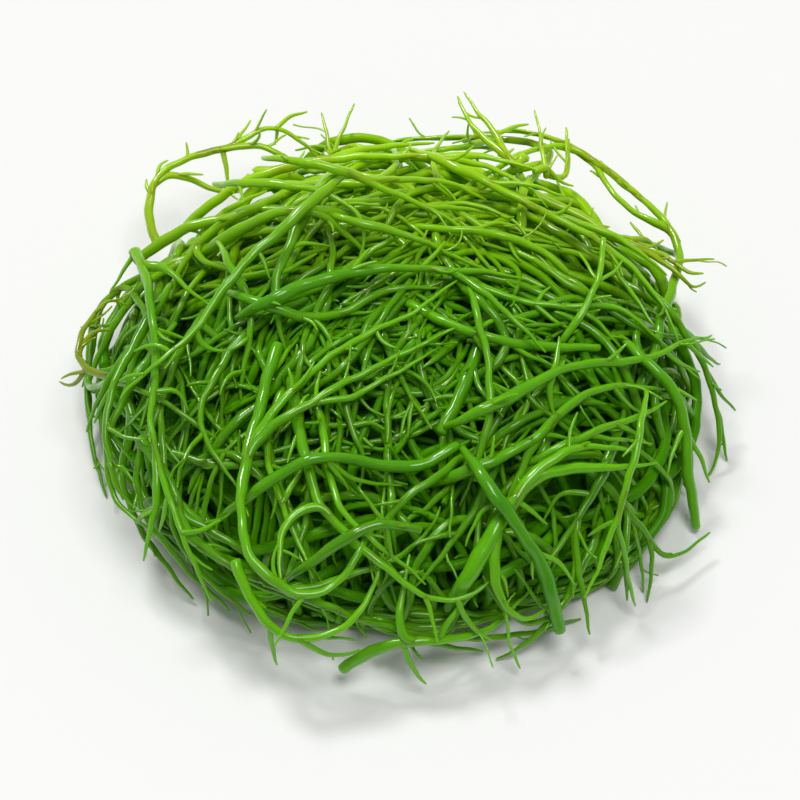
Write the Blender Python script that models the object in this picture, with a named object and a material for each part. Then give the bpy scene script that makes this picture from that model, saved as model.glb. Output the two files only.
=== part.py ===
"""A serving heap of blanched gracilaria, a string-like branched seaweed.

Each frond is one solid: a round axis with branches and short spurs grown out of it.
The fronds lie over each other, each bent clear of what it crosses, on a dense inner
tangle whose own strands stand out of a smaller core. All design values are millimetres.
"""

import math

import bmesh
import bpy
import numpy as np

# Driving dimensions of the heap, which stands on z = 0 with its middle at the origin.
MM = 0.001
HEAP_HALF_X = 57.0
HEAP_HALF_Y = 55.0
HEAP_HEIGHT = 36.0
SHOULDER_POWER = 1.15
ROUNDING_POWER = 0.6

# Springy strands hold each other up at least to this inner form, which has no solid itself.
BED_HALF_X = 51.0
BED_HALF_Y = 49.0
BED_HEIGHT = 25.0
BED_SPHERE = 2.6
BED_RINGS = 34
BED_RING_SPHERES = 125

# The inner tangle's core: a small egg shape cut flat where it rests.
CORE_HALF_X = 43.0
CORE_HALF_Y = 41.0
CORE_MIDDLE_Z = 6.0
CORE_RISE = 14.0
CORE_DROP = 8.0
CORE_DETAIL = 2
LUMP_SHARE = 0.05
LUMPS_ROUND = (3, 5)
LUMPS_UP = 4
CORE_SPHERE = 1.1
CORE_SPHERE_BEYOND = -0.9
CORE_RING_DEG = 1.9
CORE_LOWEST_DEG = 122.0
CORE_RING_SPHERES = 190

# Strands that stand out of the core and dive back into it.
ARCH_COUNT = 58
ARCH_RADIUS = 1.0
ARCH_LIFT = (1.5, 6.5)
ARCH_SPAN_DEG = (44.0, 80.0)
ARCH_LEAN = 0.75
ARCH_CURL = 0.35
ARCH_SINK = 1.8
ARCH_STEPS = 6
ARCH_LOWEST = 1.4
ARCH_LEVELS = (1.0, -0.16)
ARCH_CROWDING = 0.75

# Low down, where the heap is widest, they stand out further and reach its outer edge.
SKIRT_LEVEL = 0.42
SKIRT_LIFT = (6.0, 13.0)

# Every strand is a tube of few flat sides with its corners on the round strand.
SIDES = 4
STEP = 6.2
CURVE_SAMPLES = 12
GAP = 0.45
FLOOR_GAP = 0.05
TIP_RADIUS = 0.34
ROOT_SHARE = 0.62
ROOT_EXTRA = 0.15
BRANCH_TIP = 0.45
SHARP_EDGE_DEG = 50.0

# How a strand hangs between what carries it.
SAG = 0.0035
DROOP = 0.2
TIP_FOLLOW = 0.6
RELAX_ROUNDS = 150
SAMPLE = 0.9
NOTHING_THERE = -999.0

# A placed frond's points are given in plan, where it crosses the heap's outer form when looked
# at from the front and this far above. It is laid along that slanting line of sight.
SIGHT_RISE_DEG = 54.0
SINK_MOST = 8.0

# These spring out of the heap's back and sides, and stay at least this high to their tips.
HELD_UP = {
    "frond_back_left_loop": 13.0,
    "frond_back_tips": 13.0,
    "frond_back_posts": 12.0,
    "frond_back_pair": 13.0,
    "frond_left_loop": 9.0,
    "frond_right_olive": 10.0,
}

# Large fronds under the others follow a swirl round the middle of the heap.
UNDER_FRONDS = 7
UNDER_OUT = (0.46, 0.96)
UNDER_TURN_DEG = 20.0
UNDER_LEAN = 0.7
UNDER_LENGTH = (80.0, 108.0)
UNDER_RADII = (1.15, 0.8)
UNDER_BRANCHES = 5
UNDER_BRANCH_LEAN = (0.5, 1.1)
UNDER_BRANCH_LENGTH = (24.0, 40.0)
UNDER_BRANCH_RADIUS = 0.9
FLOW_PULL = 0.10
BRANCH_FLOW_PULL = 0.05
BEND_KEPT = 0.7
BEND_SPREAD = 0.16
EDGE_PULL = 3.0
EDGE_SHARE = (0.8, 0.98)
EVEN_TURN_DEG = 137.5

# Spurs stand on alternate sides of a chain, each a short branchlet bent once.
SPUR_LENGTH = (3.2, 7.5)
SPUR_TURN_DEG = (35.0, 62.0)
SPUR_BEND_DEG = 18.0
SPUR_EVERY = 5
SPUR_RADIUS = 0.6
SEED = 41

SIGHT_RISE = math.radians(SIGHT_RISE_DEG)
SIGHT_AXES = np.array([[1, 0, 0],
                       [0, math.sin(SIGHT_RISE), math.cos(SIGHT_RISE)],
                       [0, -math.cos(SIGHT_RISE), math.sin(SIGHT_RISE)]])

COLOURS = {
    "seaweed_bright": (0.20, 0.42, 0.012),
    "seaweed_mid": (0.12, 0.32, 0.008),
    "seaweed_deep": (0.045, 0.16, 0.006),
    "seaweed_olive": (0.24, 0.32, 0.012),
}
ROUGHNESS = 0.3

# Fronds placed by hand in plan, lowest first. Each has its name, colour, base and tip radius,
# whether its end is cut blunt, the points of its axis, and its branches. A branch has its base
# radius and its points, and grows from the frond's point nearest to its first one.
PLACED = [
    ("frond_back_left_loop", "seaweed_olive", 1.0, 0.7, False,
     [(-44, 36), (-46, 41), (-46.2, 46.5), (-45, 51.4), (-42, 55.2), (-37.4, 57), (-32.2, 58.2),
      (-27.6, 62), (-23.6, 64.6), (-19.8, 61.8), (-16, 57.6), (-12.8, 53)],
     [(0.7, [(-45, 51.4), (-38.8, 51.2), (-35.4, 50), (-32, 47.2), (-29.6, 44.6)]),
      (0.7, [(-32.2, 58.2), (-31.8, 55.6), (-32.2, 52.2), (-31.4, 48.6)]),
      (0.75, [(-32.2, 58.2), (-26.6, 59.8), (-21.8, 57.4), (-18, 54), (-14.4, 49.6)]),
      (0.55, [(-23.6, 64.6), (-20.5, 66.6), (-17.6, 67.6)])]),
    ("frond_back_tips", "seaweed_olive", 1.15, 0.8, False,
     [(22, 42), (21.9, 47.1), (20.9, 50.6), (19, 55.5), (17.4, 60), (15.1, 63.9), (12.8, 67.9),
      (11.5, 70.5)],
     [(0.9, [(19, 55.5), (15.5, 58.5), (12.8, 61.6), (11.9, 65.5), (10.2, 69.5)]),
      (0.6, [(17.4, 60), (20, 62.3), (23, 63.1)])]),
    ("frond_back_posts", "seaweed_olive", 0.95, 0.6, False,
     [(24, 36), (26, 42), (26.3, 48.3), (25.9, 54), (25.5, 60), (24.5, 66.5)],
     [(0.75, [(26.3, 48.3), (29.6, 49.5), (30.7, 53), (30.4, 58), (30.2, 62.8)])]),
    ("frond_back_pair", "seaweed_olive", 0.9, 0.5, False,
     [(-6, 42), (-9, 48), (-11.4, 53), (-12.8, 57.1), (-13.5, 60.5), (-14.3, 64), (-14.9, 67.5)],
     [(0.75, [(-12.8, 57.1), (-11.7, 61), (-10.5, 64.8), (-8.7, 69.5)])]),
    ("frond_left_loop", "seaweed_olive", 0.85, 0.6, False,
     [(-49, -6), (-52.5, -2.5), (-54.8, 2), (-56, 10), (-56, 17), (-54.4, 20), (-51.6, 16), (-48.5, 10)],
     [(0.5, [(-56, 10), (-53, 9.4), (-51, 6)])]),
    ("frond_right_olive", "seaweed_olive", 1.05, 0.7, False,
     [(24, 26), (28, 25), (32.7, 23), (38.3, 19.8), (44.6, 21.8), (50.3, 32), (55.6, 32.1)],
     [(0.7, [(38.3, 19.8), (42, 24), (46, 31)]), (0.55, [(44.6, 21.8), (50, 22), (54, 27)])]),
    ("frond_right_foot", "seaweed_mid", 0.85, 0.5, False,
     [(47, 6), (52, 2), (55.3, -4), (56.3, -11), (54, -17)],
     [(0.5, [(55.3, -4), (57.6, -7), (57.8, -12)]), (0.5, [(52, 2), (55.6, 5), (56.6, 9)])]),
    ("frond_front_left_foot", "seaweed_mid", 0.95, 0.5, False,
     [(-44, -8), (-49, -14), (-50, -20), (-48, -26), (-44, -31), (-40, -35)],
     [(0.6, [(-50, -20), (-46.6, -22), (-44.6, -26)]), (0.6, [(-44, -31), (-40, -30), (-37, -32.6)])]),
    ("frond_front_rim", "seaweed_bright", 1.25, 0.8, False,
     [(-9.5, -54.3), (-5.5, -53.8), (-0.5, -53.4), (4.5, -53.2), (9.6, -52.6), (14, -51.9),
      (18, -49.8), (22, -46.5)],
     [(0.8, [(-2.6, -53.4), (-0.5, -51), (0.4, -48.4), (1.5, -45)]),
      (0.75, [(5.5, -53.4), (7, -51.6), (9.5, -49.8), (13.5, -47.6)])]),
    ("frond_front_arc", "seaweed_bright", 1.15, 0.7, False,
     [(-27, -42), (-24, -47.5), (-19, -51), (-14, -52), (-9.8, -51.7), (-5.9, -50.6), (-4.4, -48),
      (-2.6, -44)],
     [(0.6, [(-14, -52), (-10, -54), (-7, -53.6)])]),
    ("frond_front_right_rim", "seaweed_mid", 0.95, 0.4, False,
     [(31, -41), (28, -45.5), (25, -48.8), (22, -50.4), (18.4, -52.2), (16.2, -53)],
     [(0.7, [(25, -48.8), (20.5, -50), (16, -49), (13.5, -46.5)])]),
    ("frond_front_shade", "seaweed_mid", 1.1, 0.6, False,
     [(15, -34), (12, -39.5), (8.5, -43.3), (5.4, -46), (2.6, -48.5)],
     [(0.7, [(12, -39.5), (13, -43), (12, -47)]), (0.7, [(8.5, -43.3), (5, -42.6), (1.5, -44)])]),
    ("frond_front_slant", "seaweed_mid", 0.85, 0.6, True,
     [(17, -24), (14.5, -28), (12, -31.5), (8.8, -35.3), (3.9, -39.6)],
     [(0.6, [(12, -31.5), (12, -35), (10, -38.6)])]),
    ("frond_middle_stub", "seaweed_mid", 1.35, 1.2, True,
     [(14, -9), (13, -13.5), (11.3, -18.5), (8.8, -24), (6.8, -28)],
     [(0.7, [(11.3, -18.5), (13.6, -22), (17, -24.5)])]),
    ("frond_middle_fork", "seaweed_mid", 0.9, 0.5, False,
     [(-3, -11), (-1.4, -16), (0.2, -20), (2.4, -23.5), (5, -27.5)],
     [(0.65, [(0.2, -20), (1.7, -24), (1.2, -29)]), (0.55, [(-1.4, -16), (4, -19), (6, -23)])]),
    ("frond_middle_left_curl", "seaweed_mid", 0.85, 0.55, False,
     [(-9.8, -21.5), (-10.3, -25), (-8, -27.6), (-6, -30), (-5.6, -34), (-7.5, -37.5)],
     [(0.6, [(-8, -27.6), (-4.6, -26.2), (-2, -28)]), (0.55, [(-5.6, -34), (-2, -36.2), (1, -36)])]),
    ("frond_west_curve", "seaweed_mid", 1.05, 0.7, False,
     [(-17, -3), (-21, -4.6), (-25, -6.2), (-28.4, -9), (-31, -14), (-33.8, -18), (-34.4, -22),
      (-32.5, -26), (-29, -30), (-27, -34)],
     [(0.65, [(-31, -14), (-30, -19), (-31, -23.5)]), (0.6, [(-34.4, -22), (-37, -26), (-37, -30)])]),
    ("frond_north_crest", "seaweed_bright", 1.2, 0.8, False,
     [(-39, 27), (-33, 33), (-24, 36), (-14, 36.5), (-3, 35.5), (8, 35), (16, 33), (22, 29), (26, 23)],
     [(0.8, [(-14, 36.5), (-8, 40), (0, 42), (6, 45)]), (0.75, [(8, 35), (16, 38), (24, 36)]),
      (0.7, [(-24, 36), (-27, 42), (-24, 48)])]),
    ("frond_north_west_band", "seaweed_mid", 1.25, 0.9, False,
     [(-47, 22), (-41, 24), (-34, 22.5), (-27, 22), (-21, 20.8), (-15.5, 18.5), (-12, 14)],
     [(0.8, [(-34, 22.5), (-30, 26), (-24, 27.5)]), (0.9, [(-27, 22), (-26, 18), (-24.6, 13.5)])]),
    ("frond_north_west_slant", "seaweed_mid", 1.1, 0.7, False,
     [(-29, 21), (-33.5, 19.5), (-36.6, 15.5), (-39.7, 10.5), (-42, 5.5)],
     [(0.8, [(-36.6, 15.5), (-33.5, 9.8), (-30, 7), (-26.8, 3.6)])]),
    ("frond_far_west", "seaweed_mid", 1.05, 0.6, False,
     [(-43, 2), (-46, -3.2), (-48.4, -7), (-49.8, -11), (-50, -15.5), (-48.7, -21), (-46.6, -26.5)],
     [(0.6, [(-46, -3.2), (-51, -6.6), (-54, -11)]),
      (0.75, [(-50, -15.5), (-46, -19), (-42.8, -20.4)]),
      (0.6, [(-48.7, -21), (-47.5, -25.4), (-44.6, -29)])]),
    ("frond_west_wave", "seaweed_bright", 1.25, 0.8, False,
     [(-47, 33), (-46.6, 24), (-45, 17), (-43.6, 10), (-42.8, 4), (-41.8, -3), (-41, -9), (-41.6, -13.5),
      (-42.6, -17), (-41, -21.8), (-39.8, -27), (-38, -31.4), (-36, -35.6), (-34.4, -39.6), (-31, -44.6)],
     [(0.7, [(-39.8, -27), (-40.8, -32), (-43, -35)]),
      (0.65, [(-36, -35.6), (-32.5, -37), (-29, -36.6)]),
      (0.6, [(-41.6, -13.5), (-37.6, -14.4), (-35.8, -19)]),
      (0.7, [(-45, 17), (-41.5, 14), (-37, 5), (-33, 0)])]),
    ("frond_west_drop", "seaweed_bright", 0.95, 0.7, False,
     [(-27.6, 3), (-25.6, -1), (-25.1, -4.6), (-25.6, -8.4), (-26.6, -12), (-27, -16), (-27.4, -21)],
     [(0.6, [(-25.6, -1), (-22.6, 1.4), (-20.6, 4.6)]),
      (0.5, [(-26.6, -12), (-29.6, -14.6), (-30.6, -18)])]),
    ("frond_inner_ring", "seaweed_bright", 0.95, 0.7, False,
     [(-20, -20), (-22.4, -25), (-22.6, -30), (-20.8, -35), (-18.4, -39.2), (-16.6, -43), (-14.4, -46.4)],
     [(0.65, [(-20.8, -35), (-17.6, -33.4), (-14.6, -29.8), (-10.6, -28)])]),
    ("frond_front_diagonal", "seaweed_bright", 1.25, 0.8, False,
     [(-18, -21), (-17, -27), (-15.6, -31), (-15, -35.4), (-13, -39.2), (-9, -42), (-5, -44.8),
      (-1, -47), (3, -49.2), (7, -50.2), (11, -49), (14.4, -47)],
     [(0.8, [(-15, -35.4), (-18.4, -38.4), (-20.4, -42), (-19.6, -46)]),
      (0.7, [(7, -50.2), (11, -51.6), (15, -52)])]),
    ("frond_front_twin", "seaweed_bright", 0.95, 0.7, False,
     [(-14.5, -22), (-13, -27), (-12.2, -32), (-11.6, -37), (-8.2, -40.6), (-4.4, -43.2), (0, -45.6),
      (4, -48)],
     [(0.6, [(-12.2, -32), (-9, -34.2), (-6, -38)])]),
    ("frond_low_arc", "seaweed_bright", 1.15, 1.1, True,
     [(-23, -34), (-19, -32.2), (-15, -31), (-11, -31), (-7, -32.2), (-2.6, -33.6), (2, -33.6), (6, -32.6),
      (9.4, -29.8)],
     [(0.7, [(-11, -31), (-8.2, -35.4), (-3.4, -36.6), (0, -36)])]),
    ("frond_low_stub", "seaweed_mid", 1.05, 0.95, True,
     [(-13, -44), (-8.4, -42), (-4.4, -40.4), (-0.6, -40.9), (3, -41.8)],
     [(0.55, [(-4.4, -40.4), (-5.6, -37.6), (-7, -36)])]),
    ("frond_west_column", "seaweed_bright", 1.4, 0.9, False,
     [(-15.5, 20), (-17.6, 14.5), (-19.6, 8.6), (-21.4, 2.6), (-21.6, -3), (-20.6, -8.4), (-19.2, -14)],
     [(0.6, [(-19.6, 8.6), (-16, 10), (-12, 8.6)]), (0.6, [(-21.4, 2.6), (-17.6, 4.8), (-14.6, 7)])]),
    ("frond_north_slant", "seaweed_bright", 1.3, 0.9, False,
     [(-31, 15), (-25, 17.6), (-19, 18.8), (-14.8, 17.4), (-11.4, 13.8), (-8.4, 9.6), (-4.6, 4.8)],
     [(0.7, [(-14.8, 17.4), (-10.4, 17), (-5, 14.6), (-2, 10.6)])]),
    ("frond_north_thread", "seaweed_bright", 0.9, 0.6, False,
     [(-24, 28), (-18, 25), (-13, 22), (-9, 18.4), (-6.4, 14), (-6, 9), (-7.6, 4)],
     [(0.6, [(-13, 22), (-12, 27), (-8, 31)]), (0.55, [(-9, 18.4), (-4, 18.8), (1, 22)])]),
    ("frond_north_light", "seaweed_bright", 1.0, 0.7, False,
     [(-15, 31), (-9, 27.4), (-4, 23), (1, 19.8), (5, 17.4), (9.6, 14.4), (13, 9.6)],
     [(0.7, [(-4, 23), (2, 25.6), (9, 25.6), (15, 22)]), (0.6, [(5, 17.4), (11, 18.8), (17, 17.6)])]),
    ("frond_middle_north", "seaweed_bright", 0.9, 0.6, False,
     [(-7, 13.4), (-2.6, 11.6), (2.6, 10.2), (7, 7.6), (11, 4.6), (16, 3.4)],
     [(0.65, [(2.6, 10.2), (3, 6), (2, 2.4)])]),
    ("frond_east_comb", "seaweed_bright", 0.85, 0.75, True,
     [(6, 12.6), (10, 12.4), (14.6, 12.6), (19.4, 12), (25, 10.4), (29, 6.4)],
     [(0.65, [(6, 12.6), (10.4, 9.8), (15, 9.4), (20, 9)]), (0.6, [(10, 12.4), (14, 15), (20, 15.2)])]),
    ("frond_north_east_fall", "seaweed_bright", 1.05, 0.6, False,
     [(10, 31), (16, 26.6), (22, 22.4), (28, 19.4), (35, 16.8), (41, 12.4), (45.6, 7), (48, 0.6)],
     [(0.7, [(28, 19.4), (34, 20.6), (41, 20), (47, 17)]), (0.7, [(35, 16.8), (37, 11), (41, 5), (44, 1)]),
      (0.6, [(16, 26.6), (22, 29), (29, 28)])]),
    ("frond_east_top", "seaweed_bright", 0.95, 0.6, False,
     [(12, 1), (17, -1.8), (22, -2.8), (27, -2), (31, -1.2), (35, -3.2), (38, -7)],
     [(0.7, [(22, -2.8), (26.4, -5.8), (31, -6.6)]), (0.55, [(31, -1.2), (36, 1.6), (41, 1), (45, -2)])]),
    ("frond_east_upright", "seaweed_bright", 0.75, 0.6, True,
     [(30, -4.6), (32.4, 0.6), (34, 5.4), (34.9, 10.6), (35.2, 17)],
     [(0.5, [(34, 5.4), (37, 9), (38.6, 13)])]),
    ("frond_east_pale", "seaweed_bright", 1.05, 0.9, True,
     [(2, -5), (6.4, -7.8), (10, -9.6), (15.4, -10.9), (20.4, -11.4), (25.4, -10.8), (30, -9.6),
      (34, -8.4)],
     [(0.65, [(10, -9.6), (14, -6.4), (19, -5.4), (24, -6.6)]),
      (0.55, [(20.4, -11.4), (24, -14), (28, -14.6)])]),
    ("frond_centre_hang", "seaweed_bright", 0.8, 0.65, True,
     [(13.2, -8), (14.4, -13.5), (15, -19), (14.8, -25), (13.4, -30), (12.2, -34.8)],
     [(0.5, [(15, -19), (18.4, -20), (21.4, -22.6)])]),
    ("frond_east_reach", "seaweed_bright", 1.25, 0.75, False,
     [(15, -23), (18.6, -21), (22, -18.4), (25.4, -15.4), (29.6, -13), (35, -11), (40.4, -8.4),
      (44.6, -4.8), (48, 0), (51.8, 5)],
     [(0.75, [(25.4, -15.4), (24.6, -19.6), (26.6, -24)]),
      (0.6, [(44.6, -4.8), (48.6, -4.4), (52, -2.4)])]),
    ("frond_east_second", "seaweed_bright", 1.25, 0.9, False,
     [(13, -32.6), (18, -30.2), (22.8, -27), (25.6, -23.6), (28.4, -20), (32.2, -16.8), (36.4, -14.4),
      (41, -12.8), (45.6, -10.8)],
     [(0.8, [(22.8, -27), (20.4, -31.4), (18, -36), (16.6, -41)]),
      (0.6, [(36.4, -14.4), (39, -17.4), (43, -17)])]),
    ("frond_east_hook", "seaweed_bright", 1.15, 1.05, True,
     [(43.6, -8.4), (46.8, -9.4), (48.6, -12.4), (49.2, -17), (49.6, -21.6), (51.4, -26)],
     [(0.6, [(49.2, -17), (46.4, -20), (45.6, -24)])]),
    ("frond_east_middle", "seaweed_bright", 1.0, 0.8, False,
     [(26, -28), (30.2, -25.2), (33.6, -22.6), (37.8, -20), (42, -17), (45.4, -13)],
     [(0.6, [(33.6, -22.6), (38, -23), (42.6, -21.4)])]),
    ("frond_south_east_ring", "seaweed_mid", 0.95, 0.45, False,
     [(31, -29.4), (35, -31), (39, -32.8), (43, -34), (47, -33), (50.2, -30.4), (53, -27)],
     [(0.7, [(39, -32.8), (37.4, -36.6), (38.6, -41)]), (0.6, [(43, -34), (44, -38), (42, -41.4)])]),
    ("frond_south_east_fall", "seaweed_mid", 1.05, 0.7, False,
     [(34.6, -27.6), (32.4, -32.6), (30.4, -36.2), (27.6, -39), (25, -42.6), (22.6, -46.6)],
     [(0.75, [(32.4, -32.6), (28, -32.4), (25, -35), (23.8, -39)]),
      (0.6, [(27.6, -39), (30, -43.4), (31.8, -47.4)])]),
    ("frond_south_east_trunk", "seaweed_bright", 1.75, 0.85, False,
     [(12.4, -45), (14.6, -42.2), (16.8, -38.6), (20, -34.8), (23.6, -31.8), (27.4, -30.2), (31.6, -29.4),
      (35.6, -27.8), (39.4, -26), (43, -24)],
     [(1.0, [(20, -34.8), (24.4, -29.6), (29, -26.8), (34, -25.2), (39, -24)]),
      (0.75, [(14.6, -42.2), (15, -46.6), (18, -49.6), (22, -49.6), (25, -47)]),
      (0.7, [(16.8, -38.6), (13.8, -36.4), (12.4, -40), (10.8, -43.4)])]),
    ("frond_south_east_hang", "seaweed_bright", 0.85, 0.6, False,
     [(39.4, -23), (38.4, -27.6), (36.6, -32), (35.2, -36.6), (33, -41), (30.6, -44.6)],
     [(0.5, [(35.2, -36.6), (38, -38.6), (39.6, -42)])]),
    ("frond_south_stub", "seaweed_bright", 1.4, 1.25, True,
     [(15.6, -36.4), (18.6, -39.4), (21.8, -42), (24.4, -45), (26.4, -48.4)],
     [(0.6, [(21.8, -42), (25.4, -42), (29, -44)])]),
    ("frond_centre_loop", "seaweed_bright", 1.2, 0.9, False,
     [(-21.4, -4), (-17.6, -6.4), (-13.4, -7.6), (-9.8, -6.8), (-6.6, -3.8), (-2.6, -1.2), (2, -0.6),
      (7, -1.2)],
     [(0.6, [(-13.4, -7.6), (-11, -11), (-11.6, -15)])]),
    ("frond_west_diagonal", "seaweed_bright", 1.2, 0.55, False,
     [(-16.4, 18), (-20, 13.6), (-23.6, 10.2), (-27, 6.6), (-30, 2.6), (-32.6, -2), (-35, -5.6), (-39, -8),
      (-43, -9), (-47, -11.4)],
     [(0.65, [(-35, -5.6), (-33.6, -9), (-29.6, -10.4)]), (0.5, [(-39, -8), (-41, -4.6), (-45, -4)])]),
    ("frond_north_reach", "seaweed_bright", 1.35, 0.6, False,
     [(-20, -1.6), (-15, 0.6), (-10, 1.8), (-4, 2.8), (1, 3.2), (5, 2.8), (9, 2.4), (13, 3.4), (17.6, 3.2),
      (21.4, 2.4)],
     [(0.85, [(9, 2.4), (13, -1.2), (17.4, -4.4), (21, -8.4), (24.4, -12)]),
      (0.5, [(5, 2.8), (5.4, 6), (7.6, 9)])]),
    ("frond_west_trunk", "seaweed_bright", 0.75, 1.3, True,
     [(-7.6, -45), (-10.6, -48), (-14.6, -48.4), (-18.6, -47), (-22.4, -44.6), (-25.2, -41.8),
      (-26.4, -37.6), (-26.3, -33), (-25.8, -29), (-24.6, -25.4), (-23.4, -21), (-22.4, -16.4),
      (-21, -11.4)],
     [(1.35, [(-25.8, -29), (-22.4, -24), (-18.4, -20.2), (-14.6, -16.8), (-10.6, -13.6), (-6, -10.8),
              (-0.6, -8.2), (3.4, -6), (6.4, -2.6), (9.4, 0.6)]),
      (1.1, [(-24.6, -25.4), (-19.6, -24.4), (-15, -22.4), (-10.6, -20), (-5.6, -17.6), (0, -15),
             (4.4, -12.4), (9, -9.6)]),
      (1.0, [(-15, -22.4), (-12, -23.8), (-7.6, -22), (-3, -19.4), (1.6, -16.6), (6.2, -13.6)]),
      (0.7, [(-22.4, -16.4), (-19.6, -13.6), (-17.4, -10)]),
      (0.5, [(-6, -10.8), (-3.4, -12.6), (-0.8, -13.4)])]),
]


def heap_surface(x, y):
    """Height of the heap's smooth outer form over a point of the plan."""
    out = (x / HEAP_HALF_X) ** 2 + (y / HEAP_HALF_Y) ** 2
    return HEAP_HEIGHT * np.clip(1 - out ** SHOULDER_POWER, 0, None) ** ROUNDING_POWER


def bed_point(down, turn, inset):
    """A point this far inside the inner form, from how far down its side and round it lies."""
    point = np.array([BED_HALF_X * math.sin(down) * math.cos(turn),
                      BED_HALF_Y * math.sin(down) * math.sin(turn), BED_HEIGHT * math.cos(down)])
    outward = point / np.array([BED_HALF_X, BED_HALF_Y, BED_HEIGHT]) ** 2
    return point - inset * outward / np.linalg.norm(outward)


def core_point(direction, beyond=0.0):
    """The core's surface in a direction from its middle, moved outward by some millimetres."""
    dx, dy, dz = direction
    turn = math.atan2(dy, dx)
    wide, narrow = (math.sin(count * turn + count) for count in LUMPS_ROUND)
    lumps = 1 + LUMP_SHARE * (wide + narrow * math.cos(LUMPS_UP * dz))
    upright = CORE_RISE if dz > 0 else CORE_DROP
    point = np.array([CORE_HALF_X * dx * lumps, CORE_HALF_Y * dy * lumps, upright * dz])
    outward = np.array([dx / CORE_HALF_X, dy / CORE_HALF_Y, dz / upright])
    point += beyond * outward / np.linalg.norm(outward)
    return point + np.array([0, 0, CORE_MIDDLE_Z])


def curve_through(points):
    """A dense smooth curve through plan points. At each it runs parallel to the line past it."""
    given = np.array(points, float)
    ends = [2 * given[0] - given[1], *given, 2 * given[-1] - given[-2]]
    dense = []
    for a, b, c, d in zip(ends, ends[1:], ends[2:], ends[3:]):
        for t in np.linspace(0, 1, CURVE_SAMPLES, endpoint=False):
            dense.append(0.5 * (2 * b + (c - a) * t + (2 * a - 5 * b + 4 * c - d) * t * t
                                + (3 * b - a - 3 * c + d) * t ** 3))
    dense.append(given[-1])
    return np.array(dense)


def even_route(points, step):
    """Plan points along a smooth curve, evenly spaced as measured over the heap's surface."""
    dense = curve_through(points)
    height = heap_surface(dense[:, 0], dense[:, 1])
    reach = np.linalg.norm(np.diff(np.column_stack([dense, height]), axis=0), axis=1)
    along = np.concatenate([[0], np.cumsum(reach)])
    count = max(2, round(along[-1] / step))
    marks = np.linspace(0, along[-1], count + 1)
    return np.column_stack([np.interp(marks, along, dense[:, axis]) for axis in (0, 1)])


class Frond:
    """One frond: its points, and chains of point numbers with a radius at each."""

    def __init__(self, name, colour):
        self.name = name
        self.colour = colour
        self.points = np.empty((0, 3))
        self.chains = []
        self.held_up = HELD_UP.get(name, 0.0)
        self.seen = False

    def grow(self, route, base_radius, tip_radius, blunt=False, root=None):
        """Adds a chain along plan points. With a root, the first point is that point of the frond."""
        first = len(self.points)
        own = route if root is None else route[1:]
        self.points = np.vstack([self.points, np.column_stack([own, np.zeros(len(own))])])
        numbers = list(range(first, len(self.points)))
        if root is not None:
            numbers.insert(0, root)
        radii = np.linspace(base_radius, tip_radius, len(numbers))
        if not blunt:
            radii[-1] = TIP_RADIUS
        self.chains.append((numbers, radii, blunt))
        return numbers

    def nearest(self, place):
        """The number of the frond's point nearest to a place in plan, its very ends left out."""
        inside = [n for numbers, _, _ in self.chains for n in numbers[1:-1]]
        far = np.linalg.norm(self.points[inside, :2] - np.array(place), axis=1)
        return inside[int(np.argmin(far))]

    def radius_at(self, number):
        """The frond's radius at one of its points."""
        return max(radii[numbers.index(number)] for numbers, radii, _ in self.chains if number in numbers)

    def branch(self, points, base_radius):
        """Grows a branch through plan points, from the frond's point nearest to the first."""
        root = self.nearest(points[0])
        start = self.points[root, :2]
        route = even_route([start, *points[1:]], STEP)
        base = min(base_radius, ROOT_SHARE * self.radius_at(root) + ROOT_EXTRA)
        self.grow(route, base, min(BRANCH_TIP, base), root=root)

    def spurs(self, chance):
        """Short side branchlets, on alternate sides of the longer chains."""
        side = chance.choice([-1, 1])
        for numbers, radii, _ in list(self.chains):
            for k in range(2, len(numbers) - 1, SPUR_EVERY):
                root, ahead = numbers[k], self.points[numbers[k + 1], :2]
                along = ahead - self.points[root, :2]
                turn = side * math.radians(chance.uniform(*SPUR_TURN_DEG))
                side = -side
                half = 0.5 * chance.uniform(*SPUR_LENGTH)
                bend = math.radians(chance.uniform(-SPUR_BEND_DEG, SPUR_BEND_DEG))
                heading = math.atan2(along[1], along[0]) + turn
                middle = self.points[root, :2] + half * np.array([math.cos(heading), math.sin(heading)])
                heading += bend
                tip = middle + half * np.array([math.cos(heading), math.sin(heading)])
                base = min(SPUR_RADIUS, ROOT_SHARE * radii[k])
                if base > TIP_RADIUS:
                    self.grow(np.array([self.points[root, :2], middle, tip]), base, TIP_RADIUS, root=root)


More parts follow.
